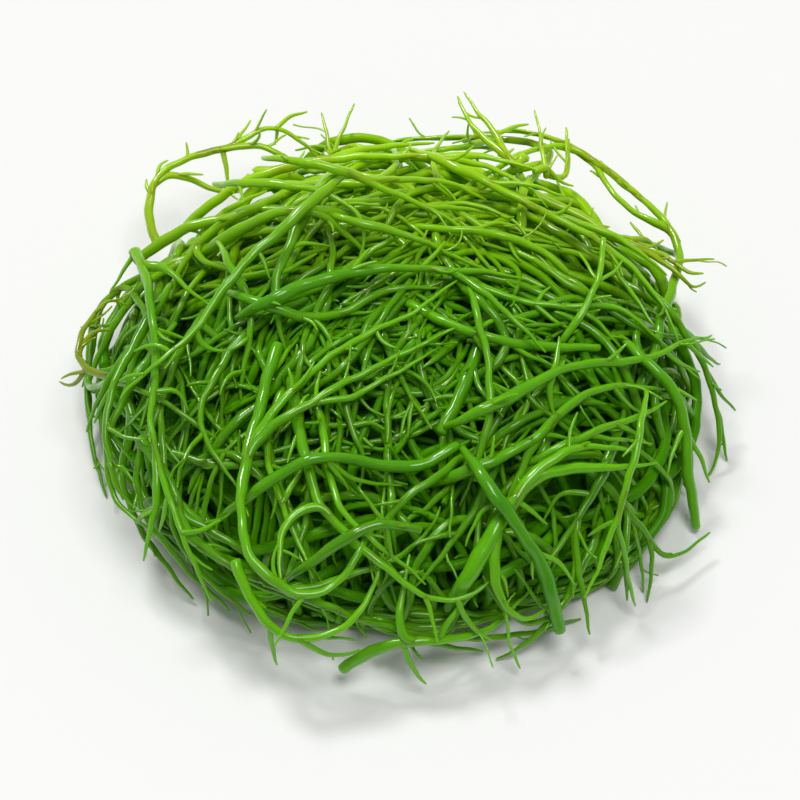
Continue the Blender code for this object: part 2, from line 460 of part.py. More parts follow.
class Pile:
    """What has been laid so far, as spheres along every strand."""

    def __init__(self):
        self.middles = np.empty((0, 3))
        self.radii = np.empty(0)

    def add(self, middles, radii):
        self.middles = np.vstack([self.middles, middles])
        self.radii = np.concatenate([self.radii, radii])

    def ceiling(self, places, radii, axes):
        """How far along the third axis a strand's middle must be, place by place, to clear the pile."""
        turned = self.middles @ axes.T
        margin = self.radii.max() + radii.max() + GAP
        low, high = places.min(axis=0) - margin, places.max(axis=0) + margin
        near = ((turned[:, :2] > low) & (turned[:, :2] < high)).all(axis=1)
        turned, widths = turned[near], self.radii[near]
        reach = widths[None, :] + radii[:, None] + GAP
        off = ((places[:, None, :] - turned[None, :, :2]) ** 2).sum(axis=2)
        rise = np.sqrt(np.clip(reach ** 2 - off, 0, None))
        over = np.where(off < reach ** 2, turned[None, :, 2] + rise, NOTHING_THERE)
        return over.max(axis=1, initial=NOTHING_THERE)

    def lay(self, frond):
        """Lets a frond down on the pile: it hangs between what carries it and touches nothing."""
        axes = SIGHT_AXES if frond.seen else np.eye(3)
        plan = frond.points[:, :2]
        outer = heap_surface(plan[:, 0], plan[:, 1]) if frond.seen else np.zeros(len(plan))
        start = np.column_stack([plan, outer]) @ axes.T
        flat = start[:, :2]
        first, second, share, radii = samples_between(frond)
        places = flat[first] * (1 - share[:, None]) + flat[second] * share[:, None]
        floor = (radii + FLOOR_GAP + frond.held_up - places @ axes[:2, 2]) / axes[2, 2]
        needed = np.maximum(self.ceiling(places, radii, axes), floor)
        if frond.seen:
            form = start[first, 2] * (1 - share) + start[second, 2] * share
            needed = np.maximum(needed, form - SINK_MOST)
        height = np.full(len(flat), NOTHING_THERE)
        np.maximum.at(height, np.where(share < 0.5, first, second), needed)
        spread = (1 - share) ** 2 + share ** 2
        smooth, fall = hanging_rule(frond, flat)

        def raised(z):
            short = np.clip(needed - (z[first] * (1 - share) + z[second] * share), 0, None)
            lift = np.zeros_like(z)
            np.maximum.at(lift, first, short * (1 - share) / spread)
            np.maximum.at(lift, second, short * share / spread)
            return z + lift, short.max()

        for _ in range(RELAX_ROUNDS):
            height, _ = raised(0.5 * (height + smooth @ height - fall))
        short = 1.0
        while short > 1e-4:
            height, short = raised(height)
        frond.points = np.column_stack([flat, height]) @ axes
        middles = frond.points[first] * (1 - share[:, None]) + frond.points[second] * share[:, None]
        self.add(middles, radii)


def samples_between(frond):
    """Places along every segment of a frond: its two points, the share between them, the radius."""
    first, second, share, radii = [], [], [], []
    for numbers, widths, _ in frond.chains:
        for a, b, ra, rb in zip(numbers, numbers[1:], widths, widths[1:]):
            ends = np.column_stack([frond.points[[a, b], :2], heap_surface(*frond.points[[a, b], :2].T)])
            count = max(2, math.ceil(np.linalg.norm(ends[1] - ends[0]) / SAMPLE))
            for t in np.linspace(0, 1, count + 1):
                first.append(a)
                second.append(b)
                share.append(t)
                radii.append(ra + (rb - ra) * t)
    return np.array(first), np.array(second), np.array(share), np.array(radii)


def hanging_rule(frond, flat):
    """Each point's pull towards the line between its neighbours, and how far it sags below it."""
    smooth, fall = np.eye(len(flat)), np.zeros(len(flat))
    for numbers, _, _ in frond.chains:
        n = np.array(numbers)
        length = np.linalg.norm(np.diff(flat[n], axis=0), axis=1) + 0.01
        before, after = length[:-1], length[1:]
        smooth[n[1:-1]] = 0
        smooth[n[1:-1], n[:-2]] = after / (before + after)
        smooth[n[1:-1], n[2:]] = before / (before + after)
        fall[n[1:-1]] = SAG * before * after
        ends = [(n[-1], n[-2], n[-3], length[-1], length[-2])]
        if numbers is frond.chains[0][0]:
            ends.append((n[0], n[1], n[2], length[0], length[1]))
        for end, inner, next_in, reach, inner_reach in ends:
            follow = TIP_FOLLOW * min(1.0, reach / inner_reach)
            smooth[end] = 0
            smooth[end, inner] = 1 + follow
            smooth[end, next_in] = -follow
            fall[end] = DROOP * reach
    return smooth, fall


def swirl(place):
    """The heading of the flow at a plan place: round the middle of the heap."""
    return math.atan2(place[1], place[0]) + math.pi / 2


def out_share(place):
    """How far out in plan a place lies, from 0 in the middle to 1 at the heap's edge."""
    return math.hypot(place[0] / HEAP_HALF_X, place[1] / HEAP_HALF_Y)


def wander(start, heading, length, chance, pull):
    """A plan route of some length that keeps to the swirl and bends gently at random."""
    place, route, bend = np.array(start, float), [tuple(start)], 0.0
    edge, outmost = EDGE_SHARE
    for _ in range(math.ceil(length / STEP)):
        bend = BEND_KEPT * bend + chance.normal(0, BEND_SPREAD)
        away = (swirl(place) - heading + math.pi) % (2 * math.pi) - math.pi
        heading += bend + pull * away * (1 + EDGE_PULL * max(0, out_share(place) - edge))
        place = place + STEP * np.array([math.cos(heading), math.sin(heading)])
        place *= outmost / max(outmost, out_share(place))
        route.append(tuple(place))
    return route


def under_frond(number, chance):
    """One of the large fronds that lie lowest, started at an even turn round the heap."""
    frond = Frond(f"frond_under_{number + 1:02d}", "seaweed_mid")
    turn = math.radians(EVEN_TURN_DEG * number + UNDER_TURN_DEG)
    inmost, outmost = UNDER_OUT
    out = inmost + (outmost - inmost) * (number * (UNDER_FRONDS - 2) % UNDER_FRONDS) / UNDER_FRONDS
    start = (out * HEAP_HALF_X * math.cos(turn), out * HEAP_HALF_Y * math.sin(turn))
    heading = swirl(start) + chance.uniform(-UNDER_LEAN, UNDER_LEAN)
    route = wander(start, heading, chance.uniform(*UNDER_LENGTH), chance, FLOW_PULL)
    axis = frond.grow(even_route(route, STEP), *UNDER_RADII)
    for k in range(UNDER_BRANCHES):
        root = axis[1 + (k + 1) * (len(axis) - 3) // (UNDER_BRANCHES + 1)]
        heading = swirl(frond.points[root]) + (-1) ** k * chance.uniform(*UNDER_BRANCH_LEAN)
        length = chance.uniform(*UNDER_BRANCH_LENGTH)
        route = wander(frond.points[root, :2], heading, length, chance, BRANCH_FLOW_PULL)
        frond.branch(route, UNDER_BRANCH_RADIUS)
    return frond


def placed_frond(name, colour, base, tip, blunt, axis, branches, chance):
    """One of the fronds placed by hand, with spurs added to it."""
    frond = Frond(name, colour)
    frond.seen = True
    frond.grow(even_route(axis, STEP), base, tip, blunt)
    for radius, points in branches:
        frond.branch(points, radius)
    frond.spurs(chance)
    return frond


def arches(chance):
    """Strands of the inner tangle, as points that leave the core and return to it."""
    made = []
    highest, lowest = ARCH_LEVELS
    for k in range(ARCH_COUNT):
        level = highest - (highest - lowest) * ((k + 0.5) / ARCH_COUNT) ** ARCH_CROWDING
        turn = math.radians(EVEN_TURN_DEG * k)
        ring = math.sqrt(max(0.0, 1 - level * level))
        middle = np.array([ring * math.cos(turn), ring * math.sin(turn), level])
        across = np.array([-math.sin(turn), math.cos(turn), 0])
        lean = chance.uniform(-ARCH_LEAN, ARCH_LEAN)
        along = across * math.cos(lean) + np.cross(middle, across) * math.sin(lean)
        half = math.radians(chance.uniform(*ARCH_SPAN_DEG)) / 2
        lift = chance.uniform(*(SKIRT_LIFT if level < SKIRT_LEVEL else ARCH_LIFT))
        curl = chance.uniform(-ARCH_CURL, ARCH_CURL)
        points = []
        for t in np.linspace(-1, 1, ARCH_STEPS):
            bow = curl * (1 - t * t) * np.cross(middle, along)
            direction = middle * math.cos(half * t) + along * math.sin(half * t) + bow
            direction /= np.linalg.norm(direction)
            beyond = (lift + ARCH_SINK) * (1 - t * t) - ARCH_SINK
            points.append(core_point(direction, beyond))
        points = np.array(points)
        points[:, 2] = np.maximum(points[:, 2], ARCH_LOWEST)
        made.append(points)
    return made


def samples_of(points, radius):
    """Spheres along a line of points, close enough together to stand for the strand."""
    middles = []
    for a, b in zip(points, points[1:]):
        count = max(2, math.ceil(np.linalg.norm(b - a) / SAMPLE))
        middles.extend(a + (b - a) * t for t in np.linspace(0, 1, count + 1))
    return np.array(middles), np.full(len(middles), radius)


def rings(downs, most):
    """Directions in level rings, from how far down each ring is, with the most round the widest."""
    for down in downs:
        for turn in np.linspace(0, 2 * math.pi, max(6, round(most * math.sin(down))), endpoint=False):
            yield down, turn


def first_layer(inner):
    """The pile before any frond: the core, the inner form and the strands that stand out."""
    pile = Pile()
    surface = []
    for down, turn in rings(np.radians(np.arange(0, CORE_LOWEST_DEG, CORE_RING_DEG)), CORE_RING_SPHERES):
        ring = math.sin(down)
        direction = (ring * math.cos(turn), ring * math.sin(turn), math.cos(down))
        surface.append(core_point(direction, CORE_SPHERE_BEYOND))
    pile.add(np.array(surface), np.full(len(surface), CORE_SPHERE))
    turns = rings(np.linspace(0, math.pi / 2, BED_RINGS), BED_RING_SPHERES)
    bed = np.array([bed_point(down, turn, BED_SPHERE) for down, turn in turns])
    pile.add(bed, np.full(len(bed), BED_SPHERE))
    for points in inner:
        pile.add(*samples_of(points, ARCH_RADIUS))
    return pile


def heap_layout():
    """The inner tangle's arches and every frond in its place, lowest first."""
    chance = np.random.default_rng(SEED)
    inner = arches(chance)
    pile = first_layer(inner)
    fronds = [under_frond(number, chance) for number in range(UNDER_FRONDS)]
    fronds += [placed_frond(*entry, chance) for entry in PLACED]
    for frond in fronds:
        pile.lay(frond)
    return inner, fronds


def tube(mesh, points, radii, blunt=(True, True)):
    """Adds a closed tube of few sides along points. An end that isn't blunt comes to a point."""
    points = np.asarray(points, float)
    away = np.gradient(points, axis=0)
    away /= np.linalg.norm(away, axis=1)[:, None]
    side = np.cross(away[0], [0, 0, 1])
    if np.linalg.norm(side) < 0.1:
        side = np.cross(away[0], [0, 1, 0])
    rings = []
    for point, forward, radius in zip(points, away, radii):
        side = side - forward * (side @ forward)
        side /= np.linalg.norm(side)
        up = np.cross(side, forward)
        ring = []
        for k in range(SIDES):
            angle = 2 * math.pi * (k + 0.5) / SIDES
            offset = radius * (math.cos(angle) * side + math.sin(angle) * up)
            ring.append(mesh.verts.new((point + offset) * MM))
        rings.append(ring)
    for near, far in zip(rings, rings[1:]):
        for k in range(SIDES):
            after = (k + 1) % SIDES
            mesh.faces.new((near[k], near[after], far[after], far[k]))
    ends = ((rings[0], points[0], -away[0], radii[0], blunt[0]),
            (rings[-1], points[-1], away[-1], radii[-1], blunt[1]))
    for number, (ring, point, outward, radius, flat) in enumerate(ends):
        ordered = ring[::-1] if number == 0 else ring
        if flat:
            mesh.faces.new(ordered)
            continue
        tip = mesh.verts.new((point + outward * radius) * MM)
        for k in range(SIDES):
            mesh.faces.new((ordered[k], ordered[(k + 1) % SIDES], tip))
    bmesh.ops.recalc_face_normals(mesh, faces=mesh.faces)


def material_for(slot):
    """The plain material of a colour, made once."""
    found = bpy.data.materials.get(slot)
    if found is None:
        found = bpy.data.materials.new(slot)
        found.use_nodes = True
        shader = found.node_tree.nodes["Principled BSDF"]
        shader.inputs["Base Color"].default_value = (*COLOURS[slot], 1)
        shader.inputs["Roughness"].default_value = ROUGHNESS
        shader.inputs["Metallic"].default_value = 0
    return found


def object_from(name, mesh, slot, collection):
    """An object in a collection, made of a mesh that is then freed."""
    data = bpy.data.meshes.new(name)
    mesh.to_mesh(data)
    mesh.free()
    made = bpy.data.objects.new(name, data)
    made.data.materials.append(material_for(slot))
    collection.objects.link(made)
    return made


def fill_sealed_gaps(data):
    """Removes the walls of any gap that strands close off inside a solid."""
    mesh = bmesh.new()
    mesh.from_mesh(data)
    left = set(mesh.verts)
    shells = []
    while left:
        shell = [left.pop()]
        for vertex in shell:
            beside = {other for edge in vertex.link_edges for other in edge.verts} & left
            left -= beside
            shell.extend(beside)
        shells.append(shell)
    largest = max(shells, key=len)
    spare = [vertex for shell in shells if shell is not largest for vertex in shell]
    bmesh.ops.delete(mesh, geom=spare, context="VERTS")
    mesh.to_mesh(data)
    mesh.free()


def fuse(base, others):
    """Joins a list of closed meshes to the base with one Boolean, and removes them."""
    held = bpy.data.collections.new(base.name + "_parts")
    bpy.context.scene.collection.children.link(held)
    for number, mesh in enumerate(others):
        object_from(f"{base.name}_part_{number}", mesh, base.data.materials[0].name, held)
    union = base.modifiers.new("union", "BOOLEAN")
    union.operation = "UNION"
    union.operand_type = "COLLECTION"
    union.collection = held
    union.solver = "MANIFOLD"
    graph = bpy.context.evaluated_depsgraph_get()
    joined = bpy.data.meshes.new_from_object(base.evaluated_get(graph))
    base.modifiers.remove(union)
    fill_sealed_gaps(joined)
    base.data = joined
    for part in list(held.objects):
        bpy.data.objects.remove(part)
    bpy.data.collections.remove(held)


def build_frond(frond):
    """One solid: the axis, with every branch and spur fused to it."""
    meshes = []
    for numbers, radii, blunt in frond.chains:
        mesh = bmesh.new()
        tube(mesh, frond.points[numbers], radii, (True, blunt))
        meshes.append(mesh)
    base = object_from(frond.name, meshes[0], frond.colour, bpy.context.scene.collection)
    fuse(base, meshes[1:])
    return base


def build_inner_tangle(inner):
    """One solid: the core cut flat below, with its strands standing out of it."""
    core = bmesh.new()
    bmesh.ops.create_icosphere(core, subdivisions=CORE_DETAIL, radius=1)
    for vertex in core.verts:
        vertex.co = core_point(vertex.co) * MM
    everything = core.verts[:] + core.edges[:] + core.faces[:]
    cut = bmesh.ops.bisect_plane(core, geom=everything, plane_co=(0, 0, 0), plane_no=(0, 0, -1),
                                 clear_outer=True)
    edges = [item for item in cut["geom_cut"] if isinstance(item, bmesh.types.BMEdge)]
    bmesh.ops.contextual_create(core, geom=edges)
    bmesh.ops.recalc_face_normals(core, faces=core.faces)
    base = object_from("inner_tangle", core, "seaweed_deep", bpy.context.scene.collection)
    strands = []
    for points in inner:
        mesh = bmesh.new()
        tube(mesh, points, np.full(len(points), ARCH_RADIUS))
        strands.append(mesh)
    fuse(base, strands)
    return base


def main():
    for old in list(bpy.data.objects):
        bpy.data.objects.remove(old)
    inner, fronds = heap_layout()
    made = [build_inner_tangle(inner)]
    made += [build_frond(frond) for frond in fronds]
    for piece in made:
        piece.data.shade_smooth()
        piece.data.set_sharp_from_angle(angle=math.radians(SHARP_EDGE_DEG))


main()
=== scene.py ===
"""Looks of a serving heap of blanched gracilaria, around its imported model."""

import math

import bmesh
import bpy
import numpy as np
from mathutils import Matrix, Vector


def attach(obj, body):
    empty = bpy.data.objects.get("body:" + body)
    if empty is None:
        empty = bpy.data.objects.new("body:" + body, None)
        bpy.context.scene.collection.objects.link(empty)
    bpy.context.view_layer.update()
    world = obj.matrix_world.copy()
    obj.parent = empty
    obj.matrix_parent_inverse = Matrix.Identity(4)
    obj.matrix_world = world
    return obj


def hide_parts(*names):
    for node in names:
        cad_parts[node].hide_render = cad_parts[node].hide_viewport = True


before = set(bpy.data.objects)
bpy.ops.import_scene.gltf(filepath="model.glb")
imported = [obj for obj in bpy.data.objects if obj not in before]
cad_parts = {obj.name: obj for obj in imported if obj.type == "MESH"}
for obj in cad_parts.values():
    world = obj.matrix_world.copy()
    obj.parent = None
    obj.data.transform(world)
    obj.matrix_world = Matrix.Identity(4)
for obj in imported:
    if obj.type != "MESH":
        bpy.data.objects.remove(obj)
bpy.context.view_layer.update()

# Driving dimensions of the heap, which stands on z = 0 with its middle at the origin.
MM = 0.001
HEAP_HALF_X = 57.0
HEAP_HALF_Y = 55.0
HEAP_HEIGHT = 36.0
HEAP_FORM = np.array([HEAP_HALF_X, HEAP_HALF_Y, HEAP_HEIGHT])
SHOULDER_POWER = 1.15
ROUNDING_POWER = 0.6

# Springy strands hold each other up at least to this inner form, which has no solid itself.
BED_HALF_X = 51.0
BED_HALF_Y = 49.0
BED_HEIGHT = 25.0
BED_SPHERE = 2.6
BED_RINGS = 34
BED_RING_SPHERES = 125

# The inner tangle's core: a small egg shape cut flat where it rests.
CORE_HALF_X = 43.0
CORE_HALF_Y = 41.0
CORE_MIDDLE_Z = 6.0
CORE_RISE = 14.0
CORE_DROP = 8.0
LUMP_SHARE = 0.05
LUMPS_ROUND = (3, 5)
LUMPS_UP = 4
CORE_SPHERE = 1.1
CORE_SPHERE_BEYOND = -0.9
CORE_RING_DEG = 1.9
CORE_LOWEST_DEG = 122.0
CORE_RING_SPHERES = 190
RING_FEWEST = 6

# Strands that stand out of the core and dive back into it.
ARCH_COUNT = 58
ARCH_RADIUS = 1.0
ARCH_LIFT = (1.5, 6.5)
ARCH_SPAN_DEG = (44.0, 80.0)
ARCH_LEAN = 0.75
ARCH_CURL = 0.35
ARCH_SINK = 1.8
ARCH_STEPS = 6
ARCH_LOWEST = 1.4
ARCH_LEVELS = (1.0, -0.16)
ARCH_CROWDING = 0.75

# Low down, where the heap is widest, they stand out further and reach its outer edge.
SKIRT_LEVEL = 0.42
SKIRT_LIFT = (6.0, 13.0)

# How far apart a frond's points are, its clearances, and how its radius runs.
STEP = 6.2
CURVE_SAMPLES = 12
GAP = 0.45
FLOOR_GAP = 0.05
TIP_RADIUS = 0.34
ROOT_SHARE = 0.62
ROOT_EXTRA = 0.15
BRANCH_TIP = 0.45

# How a strand hangs between what carries it.
SAG = 0.0035
DROOP = 0.2
TIP_FOLLOW = 0.6
RELAX_ROUNDS = 150
SAMPLE = 0.9
SHORT_LEAST = 1e-4
LENGTH_LEAST = 0.01
NOTHING_THERE = -999.0

# A placed frond's points are given in plan, where it crosses the heap's outer form when looked
# at from the front and this far above. It is laid along that slanting line of sight.
SIGHT_RISE_DEG = 54.0
SINK_MOST = 8.0

# These spring out of the heap's back and sides, and stay at least this high to their tips.
HELD_UP = {
    "back_left_loop": 13.0,
    "back_tips": 13.0,
    "back_posts": 12.0,
    "back_pair": 13.0,
    "left_loop": 9.0,
    "right_olive": 10.0,
}

# Large fronds under the others follow a swirl round the middle of the heap.
UNDER_FRONDS = 7
UNDER_OUT = (0.46, 0.96)
UNDER_TURN_DEG = 20.0
UNDER_LEAN = 0.7
UNDER_LENGTH = (80.0, 108.0)
UNDER_RADII = (1.15, 0.8)
UNDER_BRANCHES = 5
UNDER_BRANCH_LEAN = (0.5, 1.1)
UNDER_BRANCH_LENGTH = (24.0, 40.0)
UNDER_BRANCH_RADIUS = 0.9
FLOW_PULL = 0.10
BRANCH_FLOW_PULL = 0.05
BEND_KEPT = 0.7
BEND_SPREAD = 0.16
EDGE_PULL = 3.0
EDGE_SHARE = (0.8, 0.98)
EVEN_TURN_DEG = 137.5

# Spurs stand on alternate sides of a chain, each a short branchlet bent once.
SPUR_LENGTH = (3.2, 7.5)
SPUR_TURN_DEG = (35.0, 62.0)
SPUR_BEND_DEG = 18.0
SPUR_EVERY = 5
SPUR_RADIUS = 0.6
SEED = 41

SIGHT_RISE = math.radians(SIGHT_RISE_DEG)
SIGHT_AXES = np.array([[1, 0, 0],
                       [0, math.sin(SIGHT_RISE), math.cos(SIGHT_RISE)],
                       [0, -math.cos(SIGHT_RISE), math.sin(SIGHT_RISE)]])

# Fronds placed in plan, lowest first. Each has its name, look, base and tip radius,
# whether its end is cut blunt, the points of its axis as x and y, and its branches. A branch has
# its base radius and its points, and grows from the frond's point nearest to its first one.
PLACED = [
    ("back_left_loop", "olive", 1.0, 0.7, False,
     "-44 36, -46 41, -46.2 46.5, -45 51.4, -42 55.2, -37.4 57, -32.2 58.2, -27.6 62, -23.6 64.6, "
     "-19.8 61.8, -16 57.6, -12.8 53",
     [(0.7, "-45 51.4, -38.8 51.2, -35.4 50, -32 47.2, -29.6 44.6"),
      (0.7, "-32.2 58.2, -31.8 55.6, -32.2 52.2, -31.4 48.6"),
      (0.75, "-32.2 58.2, -26.6 59.8, -21.8 57.4, -18 54, -14.4 49.6"),
      (0.55, "-23.6 64.6, -20.5 66.6, -17.6 67.6")]),
    ("back_tips", "olive", 1.15, 0.8, False,
     "22 42, 21.9 47.1, 20.9 50.6, 19 55.5, 17.4 60, 15.1 63.9, 12.8 67.9, 11.5 70.5",
     [(0.9, "19 55.5, 15.5 58.5, 12.8 61.6, 11.9 65.5, 10.2 69.5"), (0.6, "17.4 60, 20 62.3, 23 63.1")]),
    ("back_posts", "olive", 0.95, 0.6, False, "24 36, 26 42, 26.3 48.3, 25.9 54, 25.5 60, 24.5 66.5",
     [(0.75, "26.3 48.3, 29.6 49.5, 30.7 53, 30.4 58, 30.2 62.8")]),
    ("back_pair", "olive", 0.9, 0.5, False,
     "-6 42, -9 48, -11.4 53, -12.8 57.1, -13.5 60.5, -14.3 64, -14.9 67.5",
     [(0.75, "-12.8 57.1, -11.7 61, -10.5 64.8, -8.7 69.5")]),
    ("left_loop", "olive", 0.85, 0.6, False,
     "-49 -6, -52.5 -2.5, -54.8 2, -56 10, -56 17, -54.4 20, -51.6 16, -48.5 10",
     [(0.5, "-56 10, -53 9.4, -51 6")]),
    ("right_olive", "olive", 1.05, 0.7, False,
     "24 26, 28 25, 32.7 23, 38.3 19.8, 44.6 21.8, 50.3 32, 55.6 32.1",
     [(0.7, "38.3 19.8, 42 24, 46 31"), (0.55, "44.6 21.8, 50 22, 54 27")]),
    ("right_foot", "mid", 0.85, 0.5, False, "47 6, 52 2, 55.3 -4, 56.3 -11, 54 -17",
     [(0.5, "55.3 -4, 57.6 -7, 57.8 -12"), (0.5, "52 2, 55.6 5, 56.6 9")]),
    ("front_left_foot", "mid", 0.95, 0.5, False, "-44 -8, -49 -14, -50 -20, -48 -26, -44 -31, -40 -35",
     [(0.6, "-50 -20, -46.6 -22, -44.6 -26"), (0.6, "-44 -31, -40 -30, -37 -32.6")]),
    ("front_rim", "bright", 1.25, 0.8, False,
     "-9.5 -54.3, -5.5 -53.8, -0.5 -53.4, 4.5 -53.2, 9.6 -52.6, 14 -51.9, 18 -49.8, 22 -46.5",
     [(0.8, "-2.6 -53.4, -0.5 -51, 0.4 -48.4, 1.5 -45"),
      (0.75, "5.5 -53.4, 7 -51.6, 9.5 -49.8, 13.5 -47.6")]),
    ("front_arc", "bright", 1.15, 0.7, False,
     "-27 -42, -24 -47.5, -19 -51, -14 -52, -9.8 -51.7, -5.9 -50.6, -4.4 -48, -2.6 -44",
     [(0.6, "-14 -52, -10 -54, -7 -53.6")]),
    ("front_right_rim", "mid", 0.95, 0.4, False,
     "31 -41, 28 -45.5, 25 -48.8, 22 -50.4, 18.4 -52.2, 16.2 -53",
     [(0.7, "25 -48.8, 20.5 -50, 16 -49, 13.5 -46.5")]),
    ("front_shade", "mid", 1.1, 0.6, False, "15 -34, 12 -39.5, 8.5 -43.3, 5.4 -46, 2.6 -48.5",
     [(0.7, "12 -39.5, 13 -43, 12 -47"), (0.7, "8.5 -43.3, 5 -42.6, 1.5 -44")]),
    ("front_slant", "mid", 0.85, 0.6, True, "17 -24, 14.5 -28, 12 -31.5, 8.8 -35.3, 3.9 -39.6",
     [(0.6, "12 -31.5, 12 -35, 10 -38.6")]),
    ("middle_stub", "mid", 1.35, 1.2, True, "14 -9, 13 -13.5, 11.3 -18.5, 8.8 -24, 6.8 -28",
     [(0.7, "11.3 -18.5, 13.6 -22, 17 -24.5")]),
    ("middle_fork", "mid", 0.9, 0.5, False, "-3 -11, -1.4 -16, 0.2 -20, 2.4 -23.5, 5 -27.5",
     [(0.65, "0.2 -20, 1.7 -24, 1.2 -29"), (0.55, "-1.4 -16, 4 -19, 6 -23")]),
    ("middle_left_curl", "mid", 0.85, 0.55, False,
     "-9.8 -21.5, -10.3 -25, -8 -27.6, -6 -30, -5.6 -34, -7.5 -37.5",
     [(0.6, "-8 -27.6, -4.6 -26.2, -2 -28"), (0.55, "-5.6 -34, -2 -36.2, 1 -36")]),
    ("west_curve", "mid", 1.05, 0.7, False,
     "-17 -3, -21 -4.6, -25 -6.2, -28.4 -9, -31 -14, -33.8 -18, -34.4 -22, -32.5 -26, -29 -30, -27 -34",
     [(0.65, "-31 -14, -30 -19, -31 -23.5"), (0.6, "-34.4 -22, -37 -26, -37 -30")]),
    ("north_crest", "bright", 1.2, 0.8, False,
     "-39 27, -33 33, -24 36, -14 36.5, -3 35.5, 8 35, 16 33, 22 29, 26 23",
     [(0.8, "-14 36.5, -8 40, 0 42, 6 45"), (0.75, "8 35, 16 38, 24 36"), (0.7, "-24 36, -27 42, -24 48")]),
    ("north_west_band", "mid", 1.25, 0.9, False,
     "-47 22, -41 24, -34 22.5, -27 22, -21 20.8, -15.5 18.5, -12 14",
     [(0.8, "-34 22.5, -30 26, -24 27.5"), (0.9, "-27 22, -26 18, -24.6 13.5")]),
    ("north_west_slant", "mid", 1.1, 0.7, False, "-29 21, -33.5 19.5, -36.6 15.5, -39.7 10.5, -42 5.5",
     [(0.8, "-36.6 15.5, -33.5 9.8, -30 7, -26.8 3.6")]),
    ("far_west", "mid", 1.05, 0.6, False,
     "-43 2, -46 -3.2, -48.4 -7, -49.8 -11, -50 -15.5, -48.7 -21, -46.6 -26.5",
     [(0.6, "-46 -3.2, -51 -6.6, -54 -11"), (0.75, "-50 -15.5, -46 -19, -42.8 -20.4"),
      (0.6, "-48.7 -21, -47.5 -25.4, -44.6 -29")]),
    ("west_wave", "bright", 1.25, 0.8, False,
     "-47 33, -46.6 24, -45 17, -43.6 10, -42.8 4, -41.8 -3, -41 -9, -41.6 -13.5, -42.6 -17, -41 -21.8, "
     "-39.8 -27, -38 -31.4, -36 -35.6, -34.4 -39.6, -31 -44.6",
     [(0.7, "-39.8 -27, -40.8 -32, -43 -35"), (0.65, "-36 -35.6, -32.5 -37, -29 -36.6"),
      (0.6, "-41.6 -13.5, -37.6 -14.4, -35.8 -19"), (0.7, "-45 17, -41.5 14, -37 5, -33 0")]),
    ("west_drop", "bright", 0.95, 0.7, False,
     "-27.6 3, -25.6 -1, -25.1 -4.6, -25.6 -8.4, -26.6 -12, -27 -16, -27.4 -21",
     [(0.6, "-25.6 -1, -22.6 1.4, -20.6 4.6"), (0.5, "-26.6 -12, -29.6 -14.6, -30.6 -18")]),
    ("inner_ring", "bright", 0.95, 0.7, False,
     "-20 -20, -22.4 -25, -22.6 -30, -20.8 -35, -18.4 -39.2, -16.6 -43, -14.4 -46.4",
     [(0.65, "-20.8 -35, -17.6 -33.4, -14.6 -29.8, -10.6 -28")]),
    ("front_diagonal", "bright", 1.25, 0.8, False,
     "-18 -21, -17 -27, -15.6 -31, -15 -35.4, -13 -39.2, -9 -42, -5 -44.8, -1 -47, 3 -49.2, 7 -50.2, "
     "11 -49, 14.4 -47",
     [(0.8, "-15 -35.4, -18.4 -38.4, -20.4 -42, -19.6 -46"), (0.7, "7 -50.2, 11 -51.6, 15 -52")]),
    ("front_twin", "bright", 0.95, 0.7, False,
     "-14.5 -22, -13 -27, -12.2 -32, -11.6 -37, -8.2 -40.6, -4.4 -43.2, 0 -45.6, 4 -48",
     [(0.6, "-12.2 -32, -9 -34.2, -6 -38")]),
    ("low_arc", "bright", 1.15, 1.1, True,
     "-23 -34, -19 -32.2, -15 -31, -11 -31, -7 -32.2, -2.6 -33.6, 2 -33.6, 6 -32.6, 9.4 -29.8",
     [(0.7, "-11 -31, -8.2 -35.4, -3.4 -36.6, 0 -36")]),
    ("low_stub", "mid", 1.05, 0.95, True, "-13 -44, -8.4 -42, -4.4 -40.4, -0.6 -40.9, 3 -41.8",
     [(0.55, "-4.4 -40.4, -5.6 -37.6, -7 -36")]),
    ("west_column", "bright", 1.4, 0.9, False,
     "-15.5 20, -17.6 14.5, -19.6 8.6, -21.4 2.6, -21.6 -3, -20.6 -8.4, -19.2 -14",
     [(0.6, "-19.6 8.6, -16 10, -12 8.6"), (0.6, "-21.4 2.6, -17.6 4.8, -14.6 7")]),
    ("north_slant", "bright", 1.3, 0.9, False,
     "-31 15, -25 17.6, -19 18.8, -14.8 17.4, -11.4 13.8, -8.4 9.6, -4.6 4.8",
     [(0.7, "-14.8 17.4, -10.4 17, -5 14.6, -2 10.6")]),
    ("north_thread", "bright", 0.9, 0.6, False, "-24 28, -18 25, -13 22, -9 18.4, -6.4 14, -6 9, -7.6 4",
     [(0.6, "-13 22, -12 27, -8 31"), (0.55, "-9 18.4, -4 18.8, 1 22")]),
    ("north_light", "bright", 1.0, 0.7, False, "-15 31, -9 27.4, -4 23, 1 19.8, 5 17.4, 9.6 14.4, 13 9.6",
     [(0.7, "-4 23, 2 25.6, 9 25.6, 15 22"), (0.6, "5 17.4, 11 18.8, 17 17.6")]),
    ("middle_north", "bright", 0.9, 0.6, False, "-7 13.4, -2.6 11.6, 2.6 10.2, 7 7.6, 11 4.6, 16 3.4",
     [(0.65, "2.6 10.2, 3 6, 2 2.4")]),
    ("east_comb", "bright", 0.85, 0.75, True, "6 12.6, 10 12.4, 14.6 12.6, 19.4 12, 25 10.4, 29 6.4",
     [(0.65, "6 12.6, 10.4 9.8, 15 9.4, 20 9"), (0.6, "10 12.4, 14 15, 20 15.2")]),
    ("north_east_fall", "bright", 1.05, 0.6, False,
     "10 31, 16 26.6, 22 22.4, 28 19.4, 35 16.8, 41 12.4, 45.6 7, 48 0.6",
